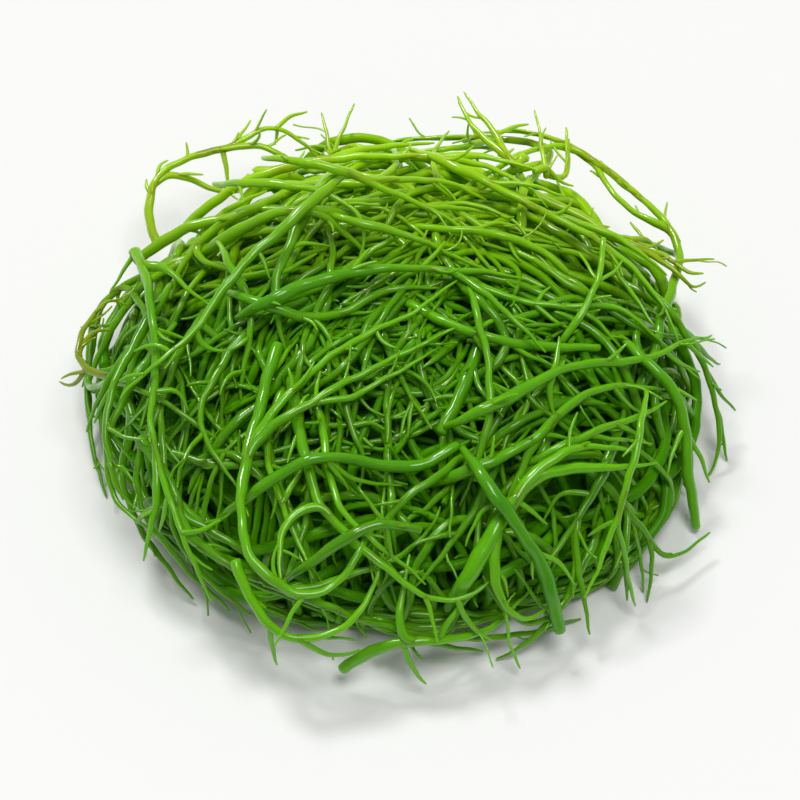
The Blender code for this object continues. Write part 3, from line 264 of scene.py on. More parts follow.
     [(0.7, "28 19.4, 34 20.6, 41 20, 47 17"), (0.7, "35 16.8, 37 11, 41 5, 44 1"),
      (0.6, "16 26.6, 22 29, 29 28")]),
    ("east_top", "bright", 0.95, 0.6, False, "12 1, 17 -1.8, 22 -2.8, 27 -2, 31 -1.2, 35 -3.2, 38 -7",
     [(0.7, "22 -2.8, 26.4 -5.8, 31 -6.6"), (0.55, "31 -1.2, 36 1.6, 41 1, 45 -2")]),
    ("east_upright", "bright", 0.75, 0.6, True, "30 -4.6, 32.4 0.6, 34 5.4, 34.9 10.6, 35.2 17",
     [(0.5, "34 5.4, 37 9, 38.6 13")]),
    ("east_pale", "bright", 1.05, 0.9, True,
     "2 -5, 6.4 -7.8, 10 -9.6, 15.4 -10.9, 20.4 -11.4, 25.4 -10.8, 30 -9.6, 34 -8.4",
     [(0.65, "10 -9.6, 14 -6.4, 19 -5.4, 24 -6.6"), (0.55, "20.4 -11.4, 24 -14, 28 -14.6")]),
    ("centre_hang", "bright", 0.8, 0.65, True,
     "13.2 -8, 14.4 -13.5, 15 -19, 14.8 -25, 13.4 -30, 12.2 -34.8",
     [(0.5, "15 -19, 18.4 -20, 21.4 -22.6")]),
    ("east_reach", "bright", 1.25, 0.75, False,
     "15 -23, 18.6 -21, 22 -18.4, 25.4 -15.4, 29.6 -13, 35 -11, 40.4 -8.4, 44.6 -4.8, 48 0, 51.8 5",
     [(0.75, "25.4 -15.4, 24.6 -19.6, 26.6 -24"), (0.6, "44.6 -4.8, 48.6 -4.4, 52 -2.4")]),
    ("east_second", "bright", 1.25, 0.9, False,
     "13 -32.6, 18 -30.2, 22.8 -27, 25.6 -23.6, 28.4 -20, 32.2 -16.8, 36.4 -14.4, 41 -12.8, 45.6 -10.8",
     [(0.8, "22.8 -27, 20.4 -31.4, 18 -36, 16.6 -41"), (0.6, "36.4 -14.4, 39 -17.4, 43 -17")]),
    ("east_hook", "bright", 1.15, 1.05, True,
     "43.6 -8.4, 46.8 -9.4, 48.6 -12.4, 49.2 -17, 49.6 -21.6, 51.4 -26",
     [(0.6, "49.2 -17, 46.4 -20, 45.6 -24")]),
    ("east_middle", "bright", 1.0, 0.8, False, "26 -28, 30.2 -25.2, 33.6 -22.6, 37.8 -20, 42 -17, 45.4 -13",
     [(0.6, "33.6 -22.6, 38 -23, 42.6 -21.4")]),
    ("south_east_ring", "mid", 0.95, 0.45, False,
     "31 -29.4, 35 -31, 39 -32.8, 43 -34, 47 -33, 50.2 -30.4, 53 -27",
     [(0.7, "39 -32.8, 37.4 -36.6, 38.6 -41"), (0.6, "43 -34, 44 -38, 42 -41.4")]),
    ("south_east_fall", "mid", 1.05, 0.7, False,
     "34.6 -27.6, 32.4 -32.6, 30.4 -36.2, 27.6 -39, 25 -42.6, 22.6 -46.6",
     [(0.75, "32.4 -32.6, 28 -32.4, 25 -35, 23.8 -39"), (0.6, "27.6 -39, 30 -43.4, 31.8 -47.4")]),
    ("south_east_trunk", "bright", 1.75, 0.85, False,
     "12.4 -45, 14.6 -42.2, 16.8 -38.6, 20 -34.8, 23.6 -31.8, 27.4 -30.2, 31.6 -29.4, 35.6 -27.8, "
     "39.4 -26, 43 -24",
     [(1.0, "20 -34.8, 24.4 -29.6, 29 -26.8, 34 -25.2, 39 -24"),
      (0.75, "14.6 -42.2, 15 -46.6, 18 -49.6, 22 -49.6, 25 -47"),
      (0.7, "16.8 -38.6, 13.8 -36.4, 12.4 -40, 10.8 -43.4")]),
    ("south_east_hang", "bright", 0.85, 0.6, False,
     "39.4 -23, 38.4 -27.6, 36.6 -32, 35.2 -36.6, 33 -41, 30.6 -44.6",
     [(0.5, "35.2 -36.6, 38 -38.6, 39.6 -42")]),
    ("south_stub", "bright", 1.4, 1.25, True, "15.6 -36.4, 18.6 -39.4, 21.8 -42, 24.4 -45, 26.4 -48.4",
     [(0.6, "21.8 -42, 25.4 -42, 29 -44")]),
    ("centre_loop", "bright", 1.2, 0.9, False,
     "-21.4 -4, -17.6 -6.4, -13.4 -7.6, -9.8 -6.8, -6.6 -3.8, -2.6 -1.2, 2 -0.6, 7 -1.2",
     [(0.6, "-13.4 -7.6, -11 -11, -11.6 -15")]),
    ("west_diagonal", "bright", 1.2, 0.55, False,
     "-16.4 18, -20 13.6, -23.6 10.2, -27 6.6, -30 2.6, -32.6 -2, -35 -5.6, -39 -8, -43 -9, -47 -11.4",
     [(0.65, "-35 -5.6, -33.6 -9, -29.6 -10.4"), (0.5, "-39 -8, -41 -4.6, -45 -4")]),
    ("north_reach", "bright", 1.35, 0.6, False,
     "-20 -1.6, -15 0.6, -10 1.8, -4 2.8, 1 3.2, 5 2.8, 9 2.4, 13 3.4, 17.6 3.2, 21.4 2.4",
     [(0.85, "9 2.4, 13 -1.2, 17.4 -4.4, 21 -8.4, 24.4 -12"), (0.5, "5 2.8, 5.4 6, 7.6 9")]),
    ("west_trunk", "bright", 0.75, 1.3, True,
     "-7.6 -45, -10.6 -48, -14.6 -48.4, -18.6 -47, -22.4 -44.6, -25.2 -41.8, -26.4 -37.6, -26.3 -33, "
     "-25.8 -29, -24.6 -25.4, -23.4 -21, -22.4 -16.4, -21 -11.4",
     [(1.35, "-25.8 -29, -22.4 -24, -18.4 -20.2, -14.6 -16.8, -10.6 -13.6, -6 -10.8, -0.6 -8.2, 3.4 -6, "
             "6.4 -2.6, 9.4 0.6"),
      (1.1, "-24.6 -25.4, -19.6 -24.4, -15 -22.4, -10.6 -20, -5.6 -17.6, 0 -15, 4.4 -12.4, 9 -9.6"),
      (1.0, "-15 -22.4, -12 -23.8, -7.6 -22, -3 -19.4, 1.6 -16.6, 6.2 -13.6"),
      (0.7, "-22.4 -16.4, -19.6 -13.6, -17.4 -10"), (0.5, "-6 -10.8, -3.4 -12.6, -0.8 -13.4")]),
]


def heap_surface(x, y):
    """Height of the heap's smooth outer form over a point of the plan."""
    out = (x / HEAP_HALF_X) ** 2 + (y / HEAP_HALF_Y) ** 2
    return HEAP_HEIGHT * np.clip(1 - out ** SHOULDER_POWER, 0, None) ** ROUNDING_POWER


def bed_point(down, turn, inset):
    """A point this far inside the inner form, from how far down its side and round it lies."""
    point = np.array([BED_HALF_X * math.sin(down) * math.cos(turn),
                      BED_HALF_Y * math.sin(down) * math.sin(turn), BED_HEIGHT * math.cos(down)])
    outward = point / np.array([BED_HALF_X, BED_HALF_Y, BED_HEIGHT]) ** 2
    return point - inset * outward / np.linalg.norm(outward)


def core_point(direction, beyond=0.0):
    """The core's surface in a direction from its middle, moved outward by some millimetres."""
    dx, dy, dz = direction
    turn = math.atan2(dy, dx)
    wide, narrow = (math.sin(count * turn + count) for count in LUMPS_ROUND)
    lumps = 1 + LUMP_SHARE * (wide + narrow * math.cos(LUMPS_UP * dz))
    upright = CORE_RISE if dz > 0 else CORE_DROP
    point = np.array([CORE_HALF_X * dx * lumps, CORE_HALF_Y * dy * lumps, upright * dz])
    outward = np.array([dx / CORE_HALF_X, dy / CORE_HALF_Y, dz / upright])
    point += beyond * outward / np.linalg.norm(outward)
    return point + np.array([0, 0, CORE_MIDDLE_Z])


def curve_through(points):
    """A dense smooth curve through plan points. At each it runs parallel to the line past it."""
    given = np.array(points, float)
    ends = [2 * given[0] - given[1], *given, 2 * given[-1] - given[-2]]
    dense = []
    for a, b, c, d in zip(ends, ends[1:], ends[2:], ends[3:]):
        for t in np.linspace(0, 1, CURVE_SAMPLES, endpoint=False):
            dense.append(0.5 * (2 * b + (c - a) * t + (2 * a - 5 * b + 4 * c - d) * t * t
                                + (3 * b - a - 3 * c + d) * t ** 3))
    dense.append(given[-1])
    return np.array(dense)


def even_route(points, step):
    """Plan points along a smooth curve, evenly spaced as measured over the heap's surface."""
    dense = curve_through(points)
    height = heap_surface(dense[:, 0], dense[:, 1])
    reach = np.linalg.norm(np.diff(np.column_stack([dense, height]), axis=0), axis=1)
    along = np.concatenate([[0], np.cumsum(reach)])
    count = max(2, round(along[-1] / step))
    marks = np.linspace(0, along[-1], count + 1)
    return np.column_stack([np.interp(marks, along, dense[:, axis]) for axis in (0, 1)])


class Frond:
    """One frond: its points, and chains of point numbers with a radius at each."""

    def __init__(self, name, colour):
        self.name = "frond_" + name
        self.colour = "seaweed_" + colour
        self.points = np.empty((0, 3))
        self.chains = []
        self.held_up = HELD_UP.get(name, 0.0)
        self.seen = False

    def grow(self, route, base_radius, tip_radius, blunt=False, root=None):
        """Adds a chain along plan points. With a root, the first point is that point of the frond."""
        first = len(self.points)
        own = route if root is None else route[1:]
        self.points = np.vstack([self.points, np.column_stack([own, np.zeros(len(own))])])
        numbers = list(range(first, len(self.points)))
        if root is not None:
            numbers.insert(0, root)
        radii = np.linspace(base_radius, tip_radius, len(numbers))
        if not blunt:
            radii[-1] = TIP_RADIUS
        self.chains.append((numbers, radii, blunt))
        return numbers

    def segments(self):
        """Each stretch between neighbouring points: their numbers and their radii."""
        for numbers, radii, _ in self.chains:
            yield from zip(numbers, numbers[1:], radii, radii[1:])

    def nearest(self, place):
        """The number of the frond's point nearest to a place in plan, its very ends left out."""
        inside = [n for numbers, _, _ in self.chains for n in numbers[1:-1]]
        far = np.linalg.norm(self.points[inside, :2] - np.array(place), axis=1)
        return inside[int(np.argmin(far))]

    def radius_at(self, number):
        """The frond's radius at one of its points."""
        return max(radii[numbers.index(number)] for numbers, radii, _ in self.chains if number in numbers)

    def branch(self, points, base_radius):
        """Grows a branch through plan points, from the frond's point nearest to the first."""
        root = self.nearest(points[0])
        start = self.points[root, :2]
        route = even_route([start, *points[1:]], STEP)
        base = min(base_radius, ROOT_SHARE * self.radius_at(root) + ROOT_EXTRA)
        self.grow(route, base, min(BRANCH_TIP, base), root=root)

    def spurs(self, chance):
        """Short side branchlets, on alternate sides of the longer chains."""
        side = chance.choice([-1, 1])
        for numbers, radii, _ in list(self.chains):
            for k in range(2, len(numbers) - 1, SPUR_EVERY):
                root, ahead = numbers[k], self.points[numbers[k + 1], :2]
                along = ahead - self.points[root, :2]
                turn = side * math.radians(chance.uniform(*SPUR_TURN_DEG))
                side = -side
                half = 0.5 * chance.uniform(*SPUR_LENGTH)
                bend = math.radians(chance.uniform(-SPUR_BEND_DEG, SPUR_BEND_DEG))
                heading = math.atan2(along[1], along[0]) + turn
                middle = self.points[root, :2] + half * np.array([math.cos(heading), math.sin(heading)])
                heading += bend
                tip = middle + half * np.array([math.cos(heading), math.sin(heading)])
                base = min(SPUR_RADIUS, ROOT_SHARE * radii[k])
                if base > TIP_RADIUS:
                    self.grow(np.array([self.points[root, :2], middle, tip]), base, TIP_RADIUS, root=root)


class Pile:
    """What has been laid so far, as spheres along every strand."""

    def __init__(self):
        self.middles = np.empty((0, 3))
        self.radii = np.empty(0)

    def add(self, middles, radii):
        self.middles = np.vstack([self.middles, middles])
        self.radii = np.concatenate([self.radii, radii])

    def ceiling(self, places, radii, axes):
        """How far along the third axis a strand's middle must be, place by place, to clear the pile."""
        turned = self.middles @ axes.T
        margin = self.radii.max() + radii.max() + GAP
        low, high = places.min(axis=0) - margin, places.max(axis=0) + margin
        near = ((turned[:, :2] > low) & (turned[:, :2] < high)).all(axis=1)
        turned, widths = turned[near], self.radii[near]
        reach = widths[None, :] + radii[:, None] + GAP
        off = ((places[:, None, :] - turned[None, :, :2]) ** 2).sum(axis=2)
        rise = np.sqrt(np.clip(reach ** 2 - off, 0, None))
        over = np.where(off < reach ** 2, turned[None, :, 2] + rise, NOTHING_THERE)
        return over.max(axis=1, initial=NOTHING_THERE)

    def lay(self, frond):
        """Lets a frond down on the pile: it hangs between what carries it and touches nothing."""
        axes = SIGHT_AXES if frond.seen else np.eye(3)
        plan = frond.points[:, :2]
        outer = heap_surface(plan[:, 0], plan[:, 1]) if frond.seen else np.zeros(len(plan))
        start = np.column_stack([plan, outer]) @ axes.T
        flat = start[:, :2]
        first, second, share, radii = samples_between(frond)
        places = flat[first] * (1 - share[:, None]) + flat[second] * share[:, None]
        floor = (radii + FLOOR_GAP + frond.held_up - places @ axes[:2, 2]) / axes[2, 2]
        needed = np.maximum(self.ceiling(places, radii, axes), floor)
        if frond.seen:
            form = start[first, 2] * (1 - share) + start[second, 2] * share
            needed = np.maximum(needed, form - SINK_MOST)
        height = np.full(len(flat), NOTHING_THERE)
        np.maximum.at(height, np.where(share < 0.5, first, second), needed)
        spread = (1 - share) ** 2 + share ** 2
        smooth, fall = hanging_rule(frond, flat)

        def raised(z):
            short = np.clip(needed - (z[first] * (1 - share) + z[second] * share), 0, None)
            lift = np.zeros_like(z)
            np.maximum.at(lift, first, short * (1 - share) / spread)
            np.maximum.at(lift, second, short * share / spread)
            return z + lift, short.max()

        for _ in range(RELAX_ROUNDS):
            height, _ = raised(0.5 * (height + smooth @ height - fall))
        short = 1.0
        while short > SHORT_LEAST:
            height, short = raised(height)
        frond.points = np.column_stack([flat, height]) @ axes
        middles = frond.points[first] * (1 - share[:, None]) + frond.points[second] * share[:, None]
        self.add(middles, radii)


def samples_between(frond):
    """Places along every segment of a frond: its two points, the share between them, the radius."""
    first, second, share, radii = [], [], [], []
    for a, b, ra, rb in frond.segments():
        ends = np.column_stack([frond.points[[a, b], :2], heap_surface(*frond.points[[a, b], :2].T)])
        count = max(2, math.ceil(np.linalg.norm(ends[1] - ends[0]) / SAMPLE))
        for t in np.linspace(0, 1, count + 1):
            first.append(a)
            second.append(b)
            share.append(t)
            radii.append(ra + (rb - ra) * t)
    return np.array(first), np.array(second), np.array(share), np.array(radii)


def hanging_rule(frond, flat):
    """Each point's pull towards the line between its neighbours, and how far it sags below it."""
    smooth, fall = np.eye(len(flat)), np.zeros(len(flat))
    for numbers, _, _ in frond.chains:
        n = np.array(numbers)
        length = np.linalg.norm(np.diff(flat[n], axis=0), axis=1) + LENGTH_LEAST
        before, after = length[:-1], length[1:]
        smooth[n[1:-1]] = 0
        smooth[n[1:-1], n[:-2]] = after / (before + after)
        smooth[n[1:-1], n[2:]] = before / (before + after)
        fall[n[1:-1]] = SAG * before * after
        ends = [(n[-1], n[-2], n[-3], length[-1], length[-2])]
        if numbers is frond.chains[0][0]:
            ends.append((n[0], n[1], n[2], length[0], length[1]))
        for end, inner, next_in, reach, inner_reach in ends:
            follow = TIP_FOLLOW * min(1.0, reach / inner_reach)
            smooth[end] = 0
            smooth[end, inner] = 1 + follow
            smooth[end, next_in] = -follow
            fall[end] = DROOP * reach
    return smooth, fall


def swirl(place):
    """The heading of the flow at a plan place: round the middle of the heap."""
    return math.atan2(place[1], place[0]) + math.pi / 2


def out_share(place):
    """How far out in plan a place lies, from 0 in the middle to 1 at the heap's edge."""
    return math.hypot(place[0] / HEAP_HALF_X, place[1] / HEAP_HALF_Y)


def wander(start, heading, length, chance, pull):
    """A plan route of some length that keeps to the swirl and bends gently at random."""
    place, route, bend = np.array(start, float), [tuple(start)], 0.0
    edge, outmost = EDGE_SHARE
    for _ in range(math.ceil(length / STEP)):
        bend = BEND_KEPT * bend + chance.normal(0, BEND_SPREAD)
        away = (swirl(place) - heading + math.pi) % (2 * math.pi) - math.pi
        heading += bend + pull * away * (1 + EDGE_PULL * max(0, out_share(place) - edge))
        place = place + STEP * np.array([math.cos(heading), math.sin(heading)])
        place *= outmost / max(outmost, out_share(place))
        route.append(tuple(place))
    return route


def under_frond(number, chance):
    """One of the large fronds that lie lowest, started at an even turn round the heap."""
    # The lowest fronds take the darker mid look, partly painted shade for lying lowest.
    frond = Frond(f"under_{number + 1:02d}", "mid")
    turn = math.radians(EVEN_TURN_DEG * number + UNDER_TURN_DEG)
    inmost, outmost = UNDER_OUT
    out = inmost + (outmost - inmost) * (number * (UNDER_FRONDS - 2) % UNDER_FRONDS) / UNDER_FRONDS
    start = (out * HEAP_HALF_X * math.cos(turn), out * HEAP_HALF_Y * math.sin(turn))
    heading = swirl(start) + chance.uniform(-UNDER_LEAN, UNDER_LEAN)
    route = wander(start, heading, chance.uniform(*UNDER_LENGTH), chance, FLOW_PULL)
    axis = frond.grow(even_route(route, STEP), *UNDER_RADII)
    for k in range(UNDER_BRANCHES):
        root = axis[1 + (k + 1) * (len(axis) - 3) // (UNDER_BRANCHES + 1)]
        heading = swirl(frond.points[root]) + (-1) ** k * chance.uniform(*UNDER_BRANCH_LEAN)
        length = chance.uniform(*UNDER_BRANCH_LENGTH)
        route = wander(frond.points[root, :2], heading, length, chance, BRANCH_FLOW_PULL)
        frond.branch(route, UNDER_BRANCH_RADIUS)
    return frond


def plan_points(text):
    """Plan points, from a text that gives each as x and y with commas between them."""
    return [tuple(float(value) for value in point.split()) for point in text.split(",")]


def placed_frond(name, colour, base, tip, blunt, axis, branches, chance):
    """One of the listed fronds, with spurs added to it."""
    frond = Frond(name, colour)
    frond.seen = True
    frond.grow(even_route(plan_points(axis), STEP), base, tip, blunt)
    for radius, points in branches:
        frond.branch(plan_points(points), radius)
    frond.spurs(chance)
    return frond


def arches(chance):
    """Strands of the inner tangle, as points that leave the core and return to it."""
    made = []
    highest, lowest = ARCH_LEVELS
    for k in range(ARCH_COUNT):
        level = highest - (highest - lowest) * ((k + 0.5) / ARCH_COUNT) ** ARCH_CROWDING
        turn = math.radians(EVEN_TURN_DEG * k)
        ring = math.sqrt(max(0.0, 1 - level * level))
        middle = np.array([ring * math.cos(turn), ring * math.sin(turn), level])
        across = np.array([-math.sin(turn), math.cos(turn), 0])
        lean = chance.uniform(-ARCH_LEAN, ARCH_LEAN)
        along = across * math.cos(lean) + np.cross(middle, across) * math.sin(lean)
        half = math.radians(chance.uniform(*ARCH_SPAN_DEG)) / 2
        lift = chance.uniform(*(SKIRT_LIFT if level < SKIRT_LEVEL else ARCH_LIFT))
        curl = chance.uniform(-ARCH_CURL, ARCH_CURL)
        points = []
        for t in np.linspace(-1, 1, ARCH_STEPS):
            bow = curl * (1 - t * t) * np.cross(middle, along)
            direction = middle * math.cos(half * t) + along * math.sin(half * t) + bow
            direction /= np.linalg.norm(direction)
            beyond = (lift + ARCH_SINK) * (1 - t * t) - ARCH_SINK
            points.append(core_point(direction, beyond))
        points = np.array(points)
        points[:, 2] = np.maximum(points[:, 2], ARCH_LOWEST)
        made.append(points)
    return made


def samples_of(points, radius):
    """Spheres along a line of points, close enough together to stand for the strand."""
    middles = []
    for a, b in zip(points, points[1:]):
        count = max(2, math.ceil(np.linalg.norm(b - a) / SAMPLE))
        middles.extend(a + (b - a) * t for t in np.linspace(0, 1, count + 1))
    return np.array(middles), np.full(len(middles), radius)


def rings(downs, most):
    """Directions in level rings, from how far down each ring is, with the most round the widest."""
    for down in downs:
        count = max(RING_FEWEST, round(most * math.sin(down)))
        for turn in np.linspace(0, 2 * math.pi, count, endpoint=False):
            yield down, turn


def first_layer(inner):
    """The pile before any frond: the core, the inner form and the strands that stand out."""
    pile = Pile()
    surface = []
    for down, turn in rings(np.radians(np.arange(0, CORE_LOWEST_DEG, CORE_RING_DEG)), CORE_RING_SPHERES):
        ring = math.sin(down)
        direction = (ring * math.cos(turn), ring * math.sin(turn), math.cos(down))
        surface.append(core_point(direction, CORE_SPHERE_BEYOND))
    pile.add(np.array(surface), np.full(len(surface), CORE_SPHERE))
    turns = rings(np.linspace(0, math.pi / 2, BED_RINGS), BED_RING_SPHERES)
    bed = np.array([bed_point(down, turn, BED_SPHERE) for down, turn in turns])
    pile.add(bed, np.full(len(bed), BED_SPHERE))
    for points in inner:
        pile.add(*samples_of(points, ARCH_RADIUS))
    return pile


def heap_layout():
    """The inner tangle's arches and every frond in its place, lowest first."""
    chance = np.random.default_rng(SEED)
    inner = arches(chance)
    pile = first_layer(inner)
    fronds = [under_frond(number, chance) for number in range(UNDER_FRONDS)]
    fronds += [placed_frond(*entry, chance) for entry in PLACED]
    for frond in fronds:
        pile.lay(frond)
    return inner, fronds


# Everything below here is the look: fine round strands along the same routes, and more of them.
LOOK_SEED = 73
LOOK_SHARE = 0.88
TINY = 1e-9
FINE_STEP = 1.15
FINE_SIDES = 9
CORE_FINENESS = 5
# The core's tone sits low on the deep look's green: painted shade, as the core lies deep inside.
CORE_SHADE = 0.2

# A fine strand tapers to a thin tip, sways sideways and up in waves, swells, and is a little oval.
FINE_TIP = 0.17
TIP_LENGTH = 9.0
LEAST_END_SHARE = 0.5
WAVE_SIZE = 0.12
WAVE_LENGTH = 11.0
SWAY_HALF_TURNS = (2.0, 4.6)
LIFT_HALF_TURNS = 2.7
SECOND_SHARE = 0.6
SWELLS = ((0.05, 3.1), (0.035, 1.3))
OVAL = 0.07
OVAL_TWIST = 9.0
ASKEW = (0.2, 0.1, 1.0)

# Two smaller rings close each end: their share of its width, and how many widths beyond it.
BLUNT_CAP = ((0.86, 0.32), (0.5, 0.42))
POINTED_CAP = ((0.62, 0.8), (0.25, 1.0))

# Strands thinner than this in radius turn paler, over this range.
THIN_BELOW = 1.25
THIN_RANGE = 0.8

# A placed frond starts out of sight: each step goes this far on and this far down behind. It
# doesn't where that would reach too far out, or where the frond already rises steeply there.
DIVE_STEPS = ((3.6, 1.2), (3.2, 2.8), (2.6, 4.0))
DIVE_WIDTHS = (0.5, 0.7, 0.9)
DIVE_OUTMOST = 0.93
DIVE_STEEPEST = 0.45
DIVE_LOWEST = 1.5

# A branch with this many points starts inside its parent, this share of a segment before the
# fork. It is this wide there and at the fork, as a share of its parent.
FORK_FEWEST = 4
FORK_BACK = 0.8
FORK_WIDTHS = (0.6, 0.95)

# Fine spurs: how many line points apart, how long, and how they lean and bend.
SPUR_FIRST = 5
SPUR_LAST = 3
SPUR_GAP = 17
SPUR_GAP_HELD = 5
SPUR_UNEVEN = (0.5, 1.6)
SPUR_REACH = (2.2, 7.5)
SPUR_SIDES = 5
SPUR_LEAN_DEG = (20.0, 48.0)
SPUR_ASKEW = (0.3, 0.2, 1.0)
SPUR_IN = 0.8
SPUR_PARTS = 3
SPUR_SWERVE = 0.3
SPUR_LOWEST = 0.6
SPUR_SHARE = 0.55
SPUR_THICKEST = 0.42
SPUR_TAPER = (1.0, 1.0, 0.95, 0.85, 0.7)

# Finer strands of the inner tangle, in layers under the heap's outer form. Each layer has its
# piece's name, its look, how many strands, how far in they lie, their length and their radius.
# The two deeper layers take the deep look and the high one the mid look: painted shade for depth.
FILL_LAYERS = (
    ("inner_strands_deep", "seaweed_deep", 130, (9.0, 13.0), (60.0, 105.0), (0.65, 0.95)),
    ("inner_strands_low", "seaweed_deep", 125, (5.0, 9.0), (60.0, 105.0), (0.6, 0.95)),
    ("inner_strands_high", "seaweed_mid", 105, (1.6, 5.0), (50.0, 90.0), (0.55, 0.95)),
)

# They start evenly all over their shell, and go on from there both ways, with the flow.
FILL_STEP = 2.1
FILL_FEWEST = 6
FILL_DOWN = 0.985
FILL_TURN_DEG = 137.508
FILL_LAYER_TURN_DEG = 71
FILL_TURN_SPREAD_DEG = 9
FILL_START_PULL = 1.6
FILL_WAYS = ((1, 0.6), (-1, 0.4))
FILL_DRIFT = (-2, 2)
FILL_TAPER = (0.6, 0.85)
FILL_BLUNT_CHANCE = 0.25
FILL_BEND_KEPT = 0.88
FILL_BEND_SPREAD = 0.07
FILL_PULL = 0.16
FILL_TILT = (0.3, 1.2)
FILL_LEAST_INSET = 0.8
FILL_STUCK = 0.3
FLOW_REACH = 8.0
FLOW_SURE = 3

# Their branches.
FILL_BRANCH_SHARE = 1.1
FILL_BRANCH_INSIDE = 2
FILL_BRANCH_LENGTH = (14.0, 34.0)
FILL_BRANCH_TURN_DEG = (20, 45)
FILL_BRANCH_DRIFT = (-2, 1)
FILL_BRANCH_FEWEST = 4
FILL_BRANCH_WIDTH = 0.72
FILL_BRANCH_THICKEST = 0.75
FILL_BRANCH_TAPER = 0.62
FILL_FORK_WIDTH = 0.5

# How they settle: a few rounds of moving apart, under the placed fronds, and straight again.
FILL_ROUNDS = 16
LAST_ROUNDS = 2
FILL_GAP = 0.12
FILL_REACH = 2.5
FIXED_REACH = 3.0
FIXED_SAMPLES = 5
PUSH_SHARE = 1.15
SINK_STEP = 0.7
SMOOTH_SHARE = 0.35
STRETCH_SHARE = 0.8
ROOF_GAP = 1.5
NO_ZERO = 1e-6

# How their meshes are made: rougher than the fronds'.
FILL_FINE_STEP = 1.7
FILL_SIDES = 6
FILL_THINNING = 2
FILL_SPUR_FIRST = 4
FILL_SPUR_GAP = 30
FILL_START_BLUNT_CHANCE = 0.3

# Where their shell ends low down, and how the heap's foot curves in. Each of the foot's waves
# has how many go round, its size and its shift.
LOWEST_DOWN_DEG = 83.0
LOWEST_SWAY_DEG = 5.0
LOWEST_SWAYS = 7
FLATTEST = 0.02
FOOT_HEIGHT = 11.0
FOOT_IN = 0.13
FOOT_WAVES = ((3, 0.30, 0.7), (5, 0.25, 2.1), (11, 0.2, 0.4))

# Dark gaps between the strands, read one by one: across and up in the picture, and a radius.
HOLLOWS = (
    (-40, 32, 1.7), (-33, 28, 2.5), (-38, 23, 1.7), (-25, 18, 2.1), (-16, 28, 1.9), (-29, 17, 1.7),
    (-10, 9, 1.4), (-45, 4, 2.5), (-51, 8, 1.4), (22, 40, 1.7), (6, 19, 1.9), (10, 11, 2.3),
    (17, 3, 1.7), (7, 4, 2.1), (-42, -13, 1.9), (-47, -2, 1.7), (-39, -24, 1.9), (-33, -29, 2.5),
    (-32, -4, 1.4), (-9, -16, 1.4), (-13, -22, 2.1), (-5, -31, 1.9), (-31, -33, 1.9), (3, -4, 1.4),
    (-18, -30, 1.9), (-13, -36, 1.9), (12, -14, 1.7), (10, -29, 1.9), (16, -39, 3.1), (19, -36, 2.1),
    (33, -20, 2.3), (48, -23, 2.3), (39, -31, 2.1), (31, -11, 1.2), (6, -6, 1.4), (-3, 2, 1.4),
    (29, 14, 1.2), (-20, -3, 1.2), (-25, -14, 1.4),
)
HOLLOW_DEPTH = 10.0
FORM_TURNS = 360

# The map over the picture that keeps finer strands behind the placed fronds.
SIGHT_CELL = 0.5
SIGHT_REACH = 3
SIGHT_MARGIN = 0.25
SIGHT_SPREAD = 0.55
NO_LIMIT = 999.0

# Each look: its dark and light green, the colour of thin strands, and its wet coat's weight.
# The mid look's darker green is partly the strands' own tone and partly painted shade for strands
# lying lower; the deep look is darker still, painted shade for strands deep inside the heap.
LOOKS = {
    "seaweed_bright": ((0.046, 0.26, 0.0008), (0.135, 0.46, 0.0015), (0.18, 0.49, 0.004), 0.8),
    "seaweed_mid": ((0.032, 0.19, 0.0006), (0.088, 0.34, 0.001), (0.14, 0.38, 0.003), 0.8),
    "seaweed_deep": ((0.034, 0.19, 0.0005), (0.075, 0.31, 0.0008), (0.10, 0.34, 0.002), 0.1),
    "seaweed_olive": ((0.11, 0.19, 0.002), (0.21, 0.31, 0.005), (0.27, 0.36, 0.01), 0.8),
}

# The greens vary from strand to strand and with a cloudy pattern of this scale and detail.
CLOUD = (95, 3)
CLOUD_SHARE = 0.9
CLOUD_SHIFT = -0.22
STRAND_SHARE = 0.55
DARK_AT = 0.12
LIGHT_AT = 0.85
THIN_SHARE = 0.6

# Painted backlight: high strands at the back are painted paler and yellower, as if lit from
# behind: from where to where, and how much of this colour.
BACK_FROM = 2.0
BACK_TO = 36.0
BACK_LOW = 3.0
BACK_HIGH = 20.0
BACKLIGHT_SHARE = 0.85
BACKLIGHT_COLOUR = (0.41, 0.71, 0.006, 1)

# The wet skin: light that enters it, its gloss, and the scale and detail of its unevenness.
SCATTER = 0.5
SCATTER_RADIUS = (0.55, 1.0, 0.12)
SCATTER_SCALE = 0.0015
WET_IOR = 1.4
COAT_ROUGHNESS = 0.13
SPECULAR_LEVEL = 0.1
SPECULAR_TINT = (0.9, 1.0, 0.4, 1)
SKIN = (900, 4)
SKIN_ROUGHNESS = (0.2, 0.44)
RIPPLE = (700, 3)
RIPPLE_STRENGTH = 0.5
RIPPLE_DEPTH = 0.0003

# The room: each sun has its name, where it stands, how wide it looks and its strength.
SUNS = (("key", (-0.35, 0.55, 0.90), 12.0, 1.5), ("front", (0.15, -0.12, 0.95), 28.0, 1.55))
ROOM_LIGHT = 0.24
FLOOR_SIZE = 6
FLOOR_COLOUR = (0.86, 0.86, 0.85, 1)
FLOOR_ROUGHNESS = 0.7
CAMERA_DISTANCE = 0.5
CAMERA_LENS = 125.0
CAMERA_SENSOR = 36
CAMERA_NEAREST = 0.01
PHOTO_SIDE = 800
MIDDLE_PIXEL = (401, 405)
MM_PER_PIXEL = 0.18


def unit(way):
    """A direction brought to length 1."""
    return way / (np.linalg.norm(way) + TINY)


